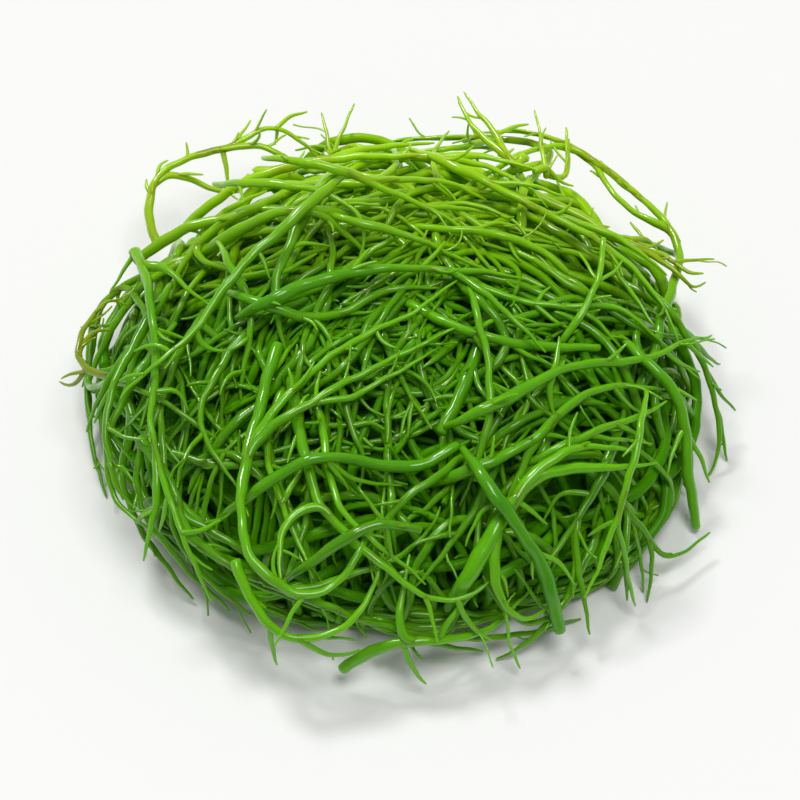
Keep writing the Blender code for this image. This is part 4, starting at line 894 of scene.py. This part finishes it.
def spline_through(points, values, step):
    """Even points along a smooth curve that keeps close to given points, with blended values."""
    points, values = np.asarray(points, float), np.asarray(values, float)
    held = np.vstack([2 * points[0] - points[1], points, 2 * points[-1] - points[-2]])
    wide = np.concatenate([values[:1], values, values[-1:]])
    fine, blended = [], []
    for k in range(len(points) - 1):
        count = max(2, math.ceil(np.linalg.norm(points[k + 1] - points[k]) / step))
        t = (np.arange(count) / count)[:, None]
        weights = np.hstack([(1 - t) ** 3, 3 * t ** 3 - 6 * t ** 2 + 4,
                             -3 * t ** 3 + 3 * t ** 2 + 3 * t + 1, t ** 3]) / 6
        fine.append(weights @ held[k:k + 4])
        blended.append(weights @ wide[k:k + 4])
    return np.concatenate([*fine, points[-1:]]), np.concatenate([*blended, values[-1:]])


def rounded(points):
    """Where the smooth curve passes each of its points."""
    passed = np.array(points, float)
    passed[1:-1] = (points[:-2] + 4 * points[1:-1] + points[2:]) / 6
    return passed


def tapered(width, along, blunt):
    """Radii along a strand, drawn in towards each end that isn't cut blunt."""
    taper = min(TIP_LENGTH, 0.5 * along[-1])
    for cut, from_end in ((blunt[1], along[-1] - along), (blunt[0], along)):
        if not cut:
            width = FINE_TIP + (width - FINE_TIP) * np.sqrt(np.clip(from_end / taper, 0, 1))
    return width


def frame_along(line):
    """The way forward at each point of a line, and two ways across it that turn no more than it does."""
    forward = np.gradient(line, axis=0)
    forward /= np.linalg.norm(forward, axis=1)[:, None] + TINY
    across = np.empty_like(line)
    side = unit(np.cross(forward[0], ASKEW))
    for k, ahead in enumerate(forward):
        side = unit(side - ahead * (side @ ahead))
        across[k] = side
    return forward, across, np.cross(across, forward)


def tube_faces(first, rows, sides):
    """The faces of a closed tube, by the numbers of its corners, which lie in rows."""
    last = first + (rows - 1) * sides
    here = np.arange(first, last, sides)[:, None] + np.arange(sides)
    beside = np.roll(here, -1, axis=1)
    quads = np.stack([here, beside, beside + sides, here + sides], axis=-1).reshape(-1, 4).tolist()
    return [*quads, list(range(first + sides - 1, first - 1, -1)), list(range(last, last + sides))]


class Strands:
    """Tubes gathered for one mesh, with a shade and a thinness kept at every corner."""

    def __init__(self):
        self.corners, self.faces, self.shades, self.thin = [], [], [], []
        self.count = 0

    def gather(self, corners, shade, thin):
        """Takes in corners with their looks, and gives the first one's number."""
        first = self.count
        self.corners.append(corners)
        self.shades.append(np.full(len(corners), shade))
        self.thin.append(thin)
        self.count += len(corners)
        return first

    def add(self, points, radii, chance, blunt, sides=FINE_SIDES, wave=WAVE_SIZE, step=FINE_STEP):
        """One smooth tube, each end cut blunt or tapered. Gives its middle line and its radii."""
        line, width = spline_through(points, radii, step)
        along = np.concatenate([[0], np.cumsum(np.linalg.norm(np.diff(line, axis=0), axis=1))])
        phase = chance.uniform(0, 2 * math.pi, 4)
        sway, second, lift = (np.sin(along / WAVE_LENGTH * half_turns * math.pi + start)
                              for half_turns, start in zip((*SWAY_HALF_TURNS, LIFT_HALF_TURNS), phase))
        sway = sway + SECOND_SHARE * second
        (large, large_length), (small, small_length) = SWELLS
        width = width * (1 + large * np.sin(along / large_length + phase[3])
                         + small * np.sin(along / small_length + phase[1]))
        width = tapered(width, along, blunt)
        forward, across, ups = frame_along(line)
        line = line + wave * (sway[:, None] * across + SECOND_SHARE * lift[:, None] * ups)
        angles = 2 * math.pi * np.arange(sides) / sides
        oval = 1 + OVAL * np.cos(2 * (angles[None, :] - along[:, None] / OVAL_TWIST - phase[0]))
        ring = (np.cos(angles)[None, :, None] * across[:, None, :]
                + np.sin(angles)[None, :, None] * ups[:, None, :])
        body = line[:, None, :] + (width[:, None] * oval)[:, :, None] * ring

        def cap(end, outward):
            return [line[end] + outward * width[end] * beyond
                    + width[end] * share * oval[end][:, None] * ring[end]
                    for share, beyond in (BLUNT_CAP if blunt[end] else POINTED_CAP)]

        body = np.concatenate([cap(0, -forward[0])[::-1], body, cap(-1, forward[-1])])
        body[:, :, 2] = np.maximum(body[:, :, 2], 0)
        rows = len(body)
        spread = np.interp(np.linspace(0, 1, rows), np.linspace(0, 1, len(width)), width)
        thin = np.repeat(np.clip((THIN_BELOW - spread) / THIN_RANGE, 0, 1), sides)
        first = self.gather(body.reshape(-1, 3), chance.uniform(0, 1), thin)
        self.faces.extend(tube_faces(first, rows, sides))
        return line, width

    def add_spurs(self, line, widths, first, gap, chance):
        """Short side branchlets, at uneven distances along a strand."""
        at = int(chance.uniform(first, first + gap))
        while at < len(line) - SPUR_LAST:
            self.add_spur(line, widths, at, chance)
            at += int(chance.uniform(*SPUR_UNEVEN) * gap)

    def add_spur(self, line, widths, at, chance):
        """A short side branchlet that leaves a strand along its course and bends away."""
        way = unit(line[at + 1] - line[at - 1])
        angle = chance.uniform(0, 2 * math.pi)
        side = unit(np.cross(way, SPUR_ASKEW))
        out = math.cos(angle) * side + math.sin(angle) * np.cross(way, side)
        lean = math.radians(chance.uniform(*SPUR_LEAN_DEG))
        direction = math.cos(lean) * way + math.sin(lean) * out
        part = chance.uniform(*SPUR_REACH) / SPUR_PARTS
        points = [line[at] - SPUR_IN * way, line[at]]
        for _ in range(SPUR_PARTS):
            points.append(points[-1] + part * direction)
            direction = direction + SPUR_SWERVE * chance.normal(0, 1, len(direction))
            direction /= np.linalg.norm(direction)
        points = np.array(points)
        if points[:, 2].min() >= SPUR_LOWEST:
            base = min(SPUR_SHARE * widths[at], SPUR_THICKEST)
            self.add(points, base * np.array(SPUR_TAPER), chance, (True, False), SPUR_SIDES, 0.0)

    def piece(self, name, node, look, materials):
        """Makes the mesh, which stands for a node and has that look."""
        data = bpy.data.meshes.new(name)
        data.from_pydata((np.concatenate(self.corners) * MM).tolist(), [], self.faces)
        for label, values in (("shade", self.shades), ("thin", self.thin)):
            layer = data.attributes.new(label, "FLOAT", "POINT")
            layer.data.foreach_set("value", np.concatenate(values).astype(np.float32))
        data.materials.append(materials[look])
        data.shade_smooth()
        piece = bpy.data.objects.new(name, data)
        bpy.context.scene.collection.objects.link(piece)
        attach(piece, "root")
        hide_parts(node)


def dived(line, widths):
    """A frond's line with its first end carried on, down behind what lies over it."""
    away = line[0] - line[1]
    away /= np.linalg.norm(away)
    if away @ SIGHT_AXES[2] > DIVE_STEEPEST:
        return line, widths
    added = [line[0]]
    for ahead, under in DIVE_STEPS:
        added.append(added[-1] + ahead * away - under * SIGHT_AXES[2])
    added = np.array(added[:0:-1])
    if max(out_share(place) for place in added) > DIVE_OUTMOST:
        return line, widths
    added[:, 2] = np.maximum(added[:, 2], DIVE_LOWEST)
    return np.vstack([added, line]), np.concatenate([widths[0] * np.array(DIVE_WIDTHS), widths])


def before_fork(frond, numbers):
    """The point of the parent from which a branch's own course runs on most smoothly."""
    root, ahead = numbers[0], frond.points[numbers[1]]
    for others, _, _ in frond.chains:
        if root in others[:-1] and others is not numbers:
            k = others.index(root)
            forward = frond.points[others[k + 1]] - frond.points[root]
            back = max(k - 1, 0) if forward @ (ahead - frond.points[root]) > 0 else k + 1
            return frond.points[others[back]]
    return None


def frond_piece(frond, materials, chance):
    """A frond's fine strands along its solid's own points, with more spurs on them."""
    strands = Strands()
    passed = {}
    for numbers, radii, blunt in frond.chains:
        line = frond.points[numbers].copy()
        end = radii[-1] if blunt else max(radii[-1], LEAST_END_SHARE * radii[-2])
        widths = LOOK_SHARE * np.interp(np.arange(len(numbers)), [0, len(numbers) - 1], [radii[0], end])
        if passed:
            line[0] = passed[numbers[0]]
            before = before_fork(frond, numbers)
            if before is not None and len(numbers) >= FORK_FEWEST:
                inside = LOOK_SHARE * frond.radius_at(numbers[0])
                line = np.vstack([line[0] + FORK_BACK * (before - line[0]), line])
                start, at_fork = FORK_WIDTHS
                widths = np.concatenate([[start * inside, max(widths[0], at_fork * inside)], widths[1:]])
                widths = np.insert(widths, 2, 0.5 * (widths[1] + widths[2]))[:len(line)]
        else:
            passed.update(zip(numbers, rounded(line)))
            if frond.held_up == 0 and frond.seen:
                line, widths = dived(line, widths)
        for number, place in zip(numbers[1:], rounded(line)[1 - len(numbers):]):
            passed.setdefault(number, place)
        fine, wide = strands.add(line, widths, chance, (True, blunt))
        strands.add_spurs(fine, wide, SPUR_FIRST, SPUR_GAP_HELD if frond.held_up else SPUR_GAP, chance)
    strands.piece(frond.name + "_fine", frond.name, frond.colour, materials)


def inner_piece(inner, materials, chance):
    """The inner tangle: its core, and its strands standing out of it."""
    strands = Strands()
    for points in inner:
        strands.add(points, np.full(len(points), ARCH_RADIUS), chance, (True, True))
    lump = bmesh.new()
    bmesh.ops.create_icosphere(lump, subdivisions=CORE_FINENESS, radius=1)
    corners = np.array([core_point(vertex.co) for vertex in lump.verts])
    corners[:, 2] = np.maximum(corners[:, 2], 0)
    first = strands.gather(corners, CORE_SHADE, np.zeros(len(corners)))
    strands.faces.extend([[first + vertex.index for vertex in face.verts] for face in lump.faces])
    lump.free()
    # Arches and core take the deep look, the core at a low tone: painted shade for the heap's inside.
    strands.piece("inner_tangle_fine", "inner_tangle", "seaweed_deep", materials)


def foot_share(height, turn):
    """How far out strands may lie at a height: the heap's foot curves in, unevenly all round."""
    uneven = 1 + sum(size * np.sin(count * turn + shift) for count, size, shift in FOOT_WAVES)
    return 1 - FOOT_IN * uneven * np.clip(1 - height / FOOT_HEIGHT, 0, 1) ** 2


def shell_point(down, turn, inset):
    """A point this far under the heap's outer form."""
    lowest = math.radians(LOWEST_DOWN_DEG + LOWEST_SWAY_DEG * math.sin(LOWEST_SWAYS * turn + inset))
    ring = math.sin(min(down, lowest))
    height = (HEAP_HEIGHT - inset) * max(1 - ring ** (2 * SHOULDER_POWER), 0) ** ROUNDING_POWER
    out = ring * foot_share(height, turn)
    return np.array([(HEAP_HALF_X - inset) * out * math.cos(turn),
                     (HEAP_HALF_Y - inset) * out * math.sin(turn), height])


def on_shell(place, inset):
    """The shell's point in about the direction of a place."""
    spread = place / (HEAP_FORM - inset)
    down = math.atan2(math.hypot(spread[0], spread[1]), max(spread[2], FLATTEST))
    return shell_point(down, math.atan2(spread[1], spread[0]), inset)


class Flow:
    """Which way the strands run, as read off the placed fronds round about."""

    def __init__(self, fronds):
        lines = [frond.points[numbers] for frond in fronds for numbers, _, _ in frond.chains]
        self.places = np.concatenate([0.5 * (line[1:] + line[:-1]) for line in lines])
        ways = np.concatenate([np.diff(line, axis=0) for line in lines])
        self.ways = ways / np.linalg.norm(ways, axis=1)[:, None]

    def at(self, place, heading):
        """The flow at a place, in the sense of a heading, and how sure it is."""
        weight = np.exp(-((self.places - place) ** 2).sum(axis=1) / (2 * FLOW_REACH ** 2))
        total = (self.ways * (weight * np.sign(self.ways @ heading))[:, None]).sum(axis=0)
        size = np.linalg.norm(total)
        return (total / size if size > NO_ZERO else heading), min(1.0, size / FLOW_SURE)


def fill_route(place, heading, length, inset, drifts, flow, chance):
    """A route of points a step apart that keeps near a shell and goes with the flow."""
    route, bend = [place], 0.0
    steps = math.ceil(length / FILL_STEP)
    drift, tilt = chance.uniform(*drifts), chance.uniform(*FILL_TILT)
    for k in range(steps):
        out = unit(place / HEAP_FORM ** 2)
        bend = FILL_BEND_KEPT * bend + chance.normal(0, FILL_BEND_SPREAD)
        along, sure = flow.at(place, heading)
        heading = heading + FILL_PULL * sure * tilt * (along - heading)
        heading = heading + bend * np.cross(out, heading)
        heading = unit(heading - out * (heading @ out))
        depth = inset + drift * math.sin(math.pi * (k + 1) / steps)
        moved = on_shell(place + FILL_STEP * heading, max(FILL_LEAST_INSET, depth)) - place
        size = np.linalg.norm(moved)
        if size < FILL_STUCK * FILL_STEP:
            break
        heading = moved / size
        place = place + heading * FILL_STEP
        route.append(place)
    return np.array(route)


class Filling:
    """The finer strands as chains of spheres, which push each other and the fronds' spheres apart."""

    def __init__(self):
        self.strands = []

    def add(self, layer, route, radii, root=None, blunt=False):
        """Takes in a strand. A branch's root is its parent's number and the point it grows from."""
        self.strands.append({"layer": layer, "route": route, "radii": radii, "root": root, "blunt": blunt})
        return len(self.strands) - 1

    def grow(self, layer, number, flow, chance):
        """Adds one seeded strand of a layer, with its branches."""
        _, _, count, insets, lengths, widths = FILL_LAYERS[layer]
        down = math.acos(1 - FILL_DOWN * ((number + 0.5) / count))
        turned = chance.uniform(-FILL_TURN_SPREAD_DEG, FILL_TURN_SPREAD_DEG)
        turn = math.radians(FILL_TURN_DEG * number + FILL_LAYER_TURN_DEG * layer + turned)
        inset = chance.uniform(*insets)
        place = shell_point(down, turn, inset)
        around = np.array([-math.sin(turn), math.cos(turn), 0])
        angle = chance.uniform(0, 2 * math.pi)
        heading = math.cos(angle) * around + math.sin(angle) * np.cross(unit(place), around)
        along, sure = flow.at(place, heading)
        heading = heading + FILL_START_PULL * sure * along
        heading /= np.linalg.norm(heading)
        length, width = chance.uniform(*lengths), chance.uniform(*widths)
        ahead, behind = (fill_route(place, way * heading, share * length, inset, FILL_DRIFT, flow, chance)
                         for way, share in FILL_WAYS)
        route = np.vstack([behind[:0:-1], ahead])
        if len(route) < FILL_FEWEST:
            return
        radii = np.linspace(width, width * chance.uniform(*FILL_TAPER), len(route))
        parent = self.add(layer, route, radii, blunt=chance.uniform() < FILL_BLUNT_CHANCE)
        for _ in range(int(chance.poisson(FILL_BRANCH_SHARE))):
            at = int(chance.integers(FILL_BRANCH_INSIDE, len(route) - FILL_BRANCH_INSIDE))
            way = unit(route[at + 1] - route[at - 1])
            side = np.cross(way, unit(route[at]))
            turned = chance.choice([-1, 1]) * math.radians(chance.uniform(*FILL_BRANCH_TURN_DEG))
            heading = way * math.cos(turned) + side * math.sin(turned)
            reach = chance.uniform(*FILL_BRANCH_LENGTH)
            branch = fill_route(route[at], heading, reach, inset, FILL_BRANCH_DRIFT, flow, chance)
            if len(branch) >= FILL_BRANCH_FEWEST:
                thick = min(FILL_BRANCH_WIDTH * radii[at], FILL_BRANCH_THICKEST)
                radii_out = np.linspace(thick, FILL_BRANCH_TAPER * thick, len(branch))
                self.add(layer, branch, radii_out, (parent, at))

    def pack(self):
        """Puts all points in one array, with each one's strand, its kin and where branches are rooted."""
        counts = [len(strand["route"]) for strand in self.strands]
        self.starts = np.concatenate([[0], np.cumsum(counts)])
        self.points = np.concatenate([strand["route"] for strand in self.strands])
        self.radii = np.concatenate([strand["radii"] for strand in self.strands])
        self.owner = np.repeat(np.arange(len(counts)), counts)
        self.kin = self.owner.copy()
        self.rooted, self.parents = [], []
        for strand, start, after in zip(self.strands, self.starts, self.starts[1:]):
            if strand["root"]:
                parent, at = strand["root"]
                self.rooted.append(start)
                self.parents.append(self.starts[parent] + at)
                self.kin[start:after] = self.kin[self.starts[parent]]

    def unpack(self):
        """Gives each strand its points back."""
        for strand, start, after in zip(self.strands, self.starts, self.starts[1:]):
            strand["route"] = self.points[start:after]

    def pieces(self, materials, chance):
        """Makes each layer's mesh."""
        for layer, (name, look, *_) in enumerate(FILL_LAYERS):
            strands = Strands()
            for strand in self.strands:
                if strand["layer"] == layer:
                    self.draw(strand, strands, chance)
            strands.piece(name, "inner_tangle", look, materials)

    def draw(self, strand, strands, chance):
        """Adds one settled strand to a mesh. A branch starts inside its parent."""
        count = len(strand["route"])
        keep = np.unique(np.r_[np.arange(0, count, FILL_THINNING), count - 1])
        line, widths = strand["route"][keep], strand["radii"][keep]
        blunt = chance.uniform() < FILL_START_BLUNT_CHANCE
        if strand["root"]:
            number, at = strand["root"]
            parent = self.strands[number]
            onward = (parent["route"][at + 1] - parent["route"][at]) @ (line[1] - line[0]) > 0
            back = at - FILL_BRANCH_INSIDE if onward else at + FILL_BRANCH_INSIDE
            back = np.clip(back, 0, len(parent["route"]) - 1)
            line = np.vstack([parent["route"][back], line])
            widths = np.concatenate([[FILL_FORK_WIDTH * parent["radii"][at]], widths])
            blunt = True
        fine, wide = strands.add(line, widths, chance, (blunt, strand["blunt"]), FILL_SIDES,
                                 step=FILL_FINE_STEP)
        strands.add_spurs(fine, wide, FILL_SPUR_FIRST, FILL_SPUR_GAP, chance)


def near_pairs(points, others, cell):
    """Pairs of a point and another point within a cell of each other, by number."""
    everything = np.concatenate([points, others])
    low = everything.min(axis=0) - cell
    spans = np.ceil((everything.max(axis=0) - low) / cell).astype(np.int64) + 3

    def key_of(cells):
        return (cells[:, 0] * spans[1] + cells[:, 1]) * spans[2] + cells[:, 2]

    mine = ((points - low) / cell).astype(np.int64) + 1
    theirs = key_of(((others - low) / cell).astype(np.int64) + 1)
    order = np.argsort(theirs, kind="stable")
    theirs = theirs[order]
    first, second = [], []
    for step in np.ndindex(3, 3, 3):
        wanted = key_of(mine + np.array(step) - 1)
        start = np.searchsorted(theirs, wanted, "left")
        count = np.searchsorted(theirs, wanted, "right") - start
        offsets = np.arange(count.sum()) - np.repeat(np.cumsum(count) - count, count)
        first.append(np.repeat(np.arange(len(points)), count))
        second.append(order[np.repeat(start, count) + offsets])
    return np.concatenate(first), np.concatenate(second)


def overlaps(points, radii, others, other_radii, reach, kin=None):
    """Pairs of spheres that come too near, by number, and the move that clears each."""
    first, second = near_pairs(points, others, reach)
    if kin is not None:
        keep = (first < second) & (kin[first] != kin[second])
        first, second = first[keep], second[keep]
    apart = points[first] - others[second]
    size = np.linalg.norm(apart, axis=1) + NO_ZERO
    deep = radii[first] + other_radii[second] + FILL_GAP - size
    hit = deep > 0
    return first[hit], second[hit], apart[hit] / size[hit, None] * deep[hit, None]


def form_points():
    """Points all over the heap's outer form."""
    turns = np.linspace(0, 2 * math.pi, FORM_TURNS)[:, None]
    outs = np.sqrt(np.linspace(0, 1, FORM_TURNS))[None, :]
    x, y = HEAP_HALF_X * outs * np.cos(turns), HEAP_HALF_Y * outs * np.sin(turns)
    return np.stack([x, y, heap_surface(x, y)], axis=-1).reshape(-1, 3)


def sight_limit(middles, radii):
    """A map over the picture of how near the viewer a finer strand may come under placed fronds."""
    turned = middles @ SIGHT_AXES.T
    low = turned[:, :2].min(axis=0) - SIGHT_REACH
    size = np.ceil((turned[:, :2].max(axis=0) + SIGHT_REACH - low) / SIGHT_CELL).astype(int)
    limit = np.full(size, NO_LIMIT)
    reach = int(SIGHT_REACH / SIGHT_CELL)
    cells = ((turned[:, :2] - low) / SIGHT_CELL).astype(int)
    for step in np.ndindex(2 * reach + 1, 2 * reach + 1):
        at = cells + np.array(step) - reach
        inside = ((at >= 0) & (at < size)).all(axis=1)
        middle = (at + 0.5) * SIGHT_CELL + low
        hit = inside & (((middle - turned[:, :2]) ** 2).sum(axis=1) < (radii + SIGHT_SPREAD) ** 2)
        np.minimum.at(limit, (at[hit, 0], at[hit, 1]), turned[hit, 2] - radii[hit] - SIGHT_MARGIN)
    form = form_points() @ SIGHT_AXES.T
    cells = ((form[:, :2] - low) / SIGHT_CELL).astype(int)
    inside = ((cells >= 0) & (cells < size)).all(axis=1)
    form, cells = form[inside], cells[inside]
    for across, up, radius in HOLLOWS:
        share = 1 - ((form[:, 0] - across) ** 2 + (form[:, 1] - up) ** 2) / radius ** 2
        hit = share > 0
        floor = form[hit, 2] - HOLLOW_DEPTH * np.sqrt(share[hit])
        np.minimum.at(limit, (cells[hit, 0], cells[hit, 1]), floor)
    return low, limit


def settle(filling, fixed, fixed_radii, limit_low, limit):
    """Moves the finer strands apart and under the placed fronds, and keeps each smooth."""
    points, radii = filling.points, filling.radii
    links = np.flatnonzero(filling.owner[:-1] == filling.owner[1:])
    inner = np.intersect1d(links, links + 1)
    for round_number in range(FILL_ROUNDS):
        move, hits = np.zeros_like(points), np.zeros(len(points))
        first, second, push = overlaps(points, radii, points, radii, FILL_REACH, filling.kin)
        held, _, clear = overlaps(points, radii, fixed, fixed_radii, FIXED_REACH)
        for numbers, moved in ((first, 0.5 * push), (second, -0.5 * push), (held, clear)):
            np.add.at(move, numbers, moved)
            np.add.at(hits, numbers, 1)
        points += move / np.maximum(hits, 1)[:, None] * PUSH_SHARE
        turned = points @ SIGHT_AXES.T
        cells = ((turned[:, :2] - limit_low) / SIGHT_CELL).astype(int)
        cells = np.clip(cells, 0, np.array(limit.shape) - 1)
        over = turned[:, 2] + radii - limit[cells[:, 0], cells[:, 1]]
        points -= np.clip(over, 0, SINK_STEP)[:, None] * SIGHT_AXES[2]
        if round_number < FILL_ROUNDS - LAST_ROUNDS:
            middle = 0.5 * (points[inner - 1] + points[inner + 1])
            points[inner] += SMOOTH_SHARE * (middle - points[inner])
        gap = points[links + 1] - points[links]
        length = np.linalg.norm(gap, axis=1) + NO_ZERO
        fix = (0.5 * (length - FILL_STEP) / length)[:, None] * gap
        points[links] += STRETCH_SHARE * fix
        points[links + 1] -= STRETCH_SHARE * fix
        points[filling.rooted] = points[filling.parents]
        spread = points / HEAP_FORM
        foot = foot_share(points[:, 2], np.arctan2(spread[:, 1], spread[:, 0]))
        points[:, :2] /= np.clip(np.hypot(spread[:, 0], spread[:, 1]) / foot, 1, None)[:, None]
        roof = heap_surface(points[:, 0], points[:, 1]) + ROOF_GAP
        points[:, 2] = np.clip(points[:, 2], radii + FLOOR_GAP, np.maximum(roof, radii + 2 * FLOOR_GAP))


def solid_spheres(inner, fronds):
    """Spheres along all that the heap has so far, and which of them are a placed frond's."""
    middles, radii, seen = [], [], []
    shares = np.linspace(0, 1, FIXED_SAMPLES + 1)[:-1, None]
    for frond in fronds:
        for a, b, ra, rb in frond.segments():
            middles.append(frond.points[a] * (1 - shares) + frond.points[b] * shares)
            radii.append(ra + (rb - ra) * shares[:, 0])
            seen.append(np.full(FIXED_SAMPLES, frond.seen))
    for points in inner:
        spheres, widths = samples_of(points, ARCH_RADIUS)
        middles.append(spheres[::2])
        radii.append(widths[::2])
        seen.append(np.full(len(radii[-1]), False))
    return np.concatenate(middles), np.concatenate(radii), np.concatenate(seen)


def filler(inner, fronds, chance):
    """Seeded finer strands all over the heap, settled between the fronds."""
    flow = Flow([frond for frond in fronds if frond.seen])
    filling = Filling()
    for layer, (_, _, count, *_) in enumerate(FILL_LAYERS):
        for number in range(count):
            filling.grow(layer, number, flow, chance)
    filling.pack()
    fixed, fixed_radii, seen = solid_spheres(inner, fronds)
    settle(filling, fixed, fixed_radii, *sight_limit(fixed[seen], fixed_radii[seen]))
    filling.unpack()
    return filling


class Graph:
    """A material and its nodes, made and linked in short calls."""

    def __init__(self, name):
        self.material = bpy.data.materials.new(name)
        self.material.use_nodes = True
        self.shader = self.material.node_tree.nodes["Principled BSDF"]

    def fill(self, node, inputs):
        """Gives a node's inputs their values, or links them from the sockets given for them."""
        for key, value in inputs.items():
            if isinstance(value, bpy.types.NodeSocket):
                self.material.node_tree.links.new(value, node.inputs[key])
            else:
                node.inputs[key].default_value = value

    def add(self, kind, output, inputs, **settings):
        """Adds a node, and gives the output that is wanted from it."""
        node = self.material.node_tree.nodes.new("ShaderNode" + kind)
        for key, value in settings.items():
            setattr(node, key, value)
        self.fill(node, inputs)
        return node.outputs[output]

    def noise(self, place, scale, detail):
        """A cloudy pattern."""
        return self.add("TexNoise", "Fac", {"Vector": place, "Scale": scale, "Detail": detail})


def wet_material(name, dark, light, pale, gloss):
    """Wet, slightly see-through seaweed, its green varied from strand to strand and along each."""
    graph = Graph(name)
    place = graph.add("TexCoord", "Object", {})
    shade = graph.add("Attribute", "Fac", {}, attribute_name="shade")
    thin = graph.add("Attribute", "Fac", {}, attribute_name="thin")
    cloud = graph.noise(place, *CLOUD)
    cloud = graph.add("Math", "Value", {0: cloud, 1: CLOUD_SHARE, 2: CLOUD_SHIFT}, operation="MULTIPLY_ADD")
    mixed = graph.add("Math", "Value", {0: shade, 1: STRAND_SHARE, 2: cloud}, operation="MULTIPLY_ADD")
    green = graph.add("ValToRGB", "Color", {"Fac": mixed})
    for stop, at, colour in zip(green.node.color_ramp.elements, (DARK_AT, LIGHT_AT), (dark, light)):
        stop.position = at
        stop.color = (*colour, 1)
    fade = graph.add("Math", "Value", {0: thin, 1: THIN_SHARE}, operation="MULTIPLY")
    paler = graph.add("Mix", "Result", {"Factor": fade, "A": green, "B": (*pale, 1)}, data_type="RGBA")
    # Painted backlight: high strands at the back are mixed towards a paler, yellower green.
    where = graph.add("SeparateXYZ", "Y", {"Vector": place})
    behind = graph.add("MapRange", "Result", {"Value": where, "From Min": BACK_FROM * MM,
                                              "From Max": BACK_TO * MM, "To Max": BACKLIGHT_SHARE})
    above = graph.add("MapRange", "Result", {"Value": where.node.outputs["Z"], "From Min": BACK_LOW * MM,
                                             "From Max": BACK_HIGH * MM})
    both = graph.add("Math", "Value", {0: behind, 1: above}, operation="MULTIPLY")
    backlit = graph.add("Mix", "Result", {"Factor": both, "A": paler, "B": BACKLIGHT_COLOUR}, data_type="RGBA")
    least, most = SKIN_ROUGHNESS
    skin = graph.add("MapRange", "Result", {"Value": graph.noise(place, *SKIN), "To Min": least,
                                            "To Max": most})
    bump = graph.add("Bump", "Normal", {"Height": graph.noise(place, *RIPPLE),
                                        "Strength": RIPPLE_STRENGTH, "Distance": RIPPLE_DEPTH})
    graph.fill(graph.shader, {
        "Base Color": backlit, "Roughness": skin, "Normal": bump, "IOR": WET_IOR,
        "Subsurface Weight": SCATTER, "Subsurface Radius": SCATTER_RADIUS, "Subsurface Scale": SCATTER_SCALE,
        "Coat Weight": gloss, "Coat Roughness": COAT_ROUGHNESS,
        "Specular IOR Level": SPECULAR_LEVEL, "Specular Tint": SPECULAR_TINT,
    })
    return graph.material


def studio():
    """A pale floor, soft lights and the camera at the photograph's angle."""
    scene = bpy.context.scene
    bpy.ops.mesh.primitive_plane_add(size=FLOOR_SIZE)
    floor = bpy.context.object
    floor.name = "floor"
    graph = Graph("floor_pale")
    graph.fill(graph.shader, {"Base Color": FLOOR_COLOUR, "Roughness": FLOOR_ROUGHNESS})
    floor.data.materials.append(graph.material)
    scene.world = bpy.data.worlds.new("room")
    scene.world.use_nodes = True
    background = scene.world.node_tree.nodes["Background"]
    background.inputs["Color"].default_value = (1, 1, 1, 1)
    background.inputs["Strength"].default_value = ROOM_LIGHT
    scene.view_settings.view_transform = "Standard"
    for name, place, spread_deg, strength in SUNS:
        lamp = bpy.data.lights.new(name, "SUN")
        lamp.angle = math.radians(spread_deg)
        lamp.energy = strength
        sun = bpy.data.objects.new(name, lamp)
        sun.rotation_euler = (-Vector(place)).to_track_quat("-Z", "Y").to_euler()
        scene.collection.objects.link(sun)
    right, up, back = (Vector(axis) for axis in SIGHT_AXES)
    centre = PHOTO_SIDE / 2
    aim = (right * (centre - MIDDLE_PIXEL[0]) + up * (MIDDLE_PIXEL[1] - centre)) * MM_PER_PIXEL * MM
    camera = bpy.data.objects.new("camera", bpy.data.cameras.new("camera"))
    camera.data.lens = CAMERA_LENS
    camera.data.sensor_width = CAMERA_SENSOR
    camera.data.clip_start = CAMERA_NEAREST
    camera.location = aim + back * CAMERA_DISTANCE
    camera.rotation_euler = (math.pi / 2 - SIGHT_RISE, 0, 0)
    scene.collection.objects.link(camera)
    scene.camera = camera


def main():
    """Lays the heap out, and makes every piece and the room."""
    chance = np.random.default_rng(LOOK_SEED)
    inner, fronds = heap_layout()
    materials = {name: wet_material(name, *look) for name, look in LOOKS.items()}
    inner_piece(inner, materials, chance)
    for frond in fronds:
        frond_piece(frond, materials, chance)
    filler(inner, fronds, chance).pieces(materials, chance)
    studio()


main()
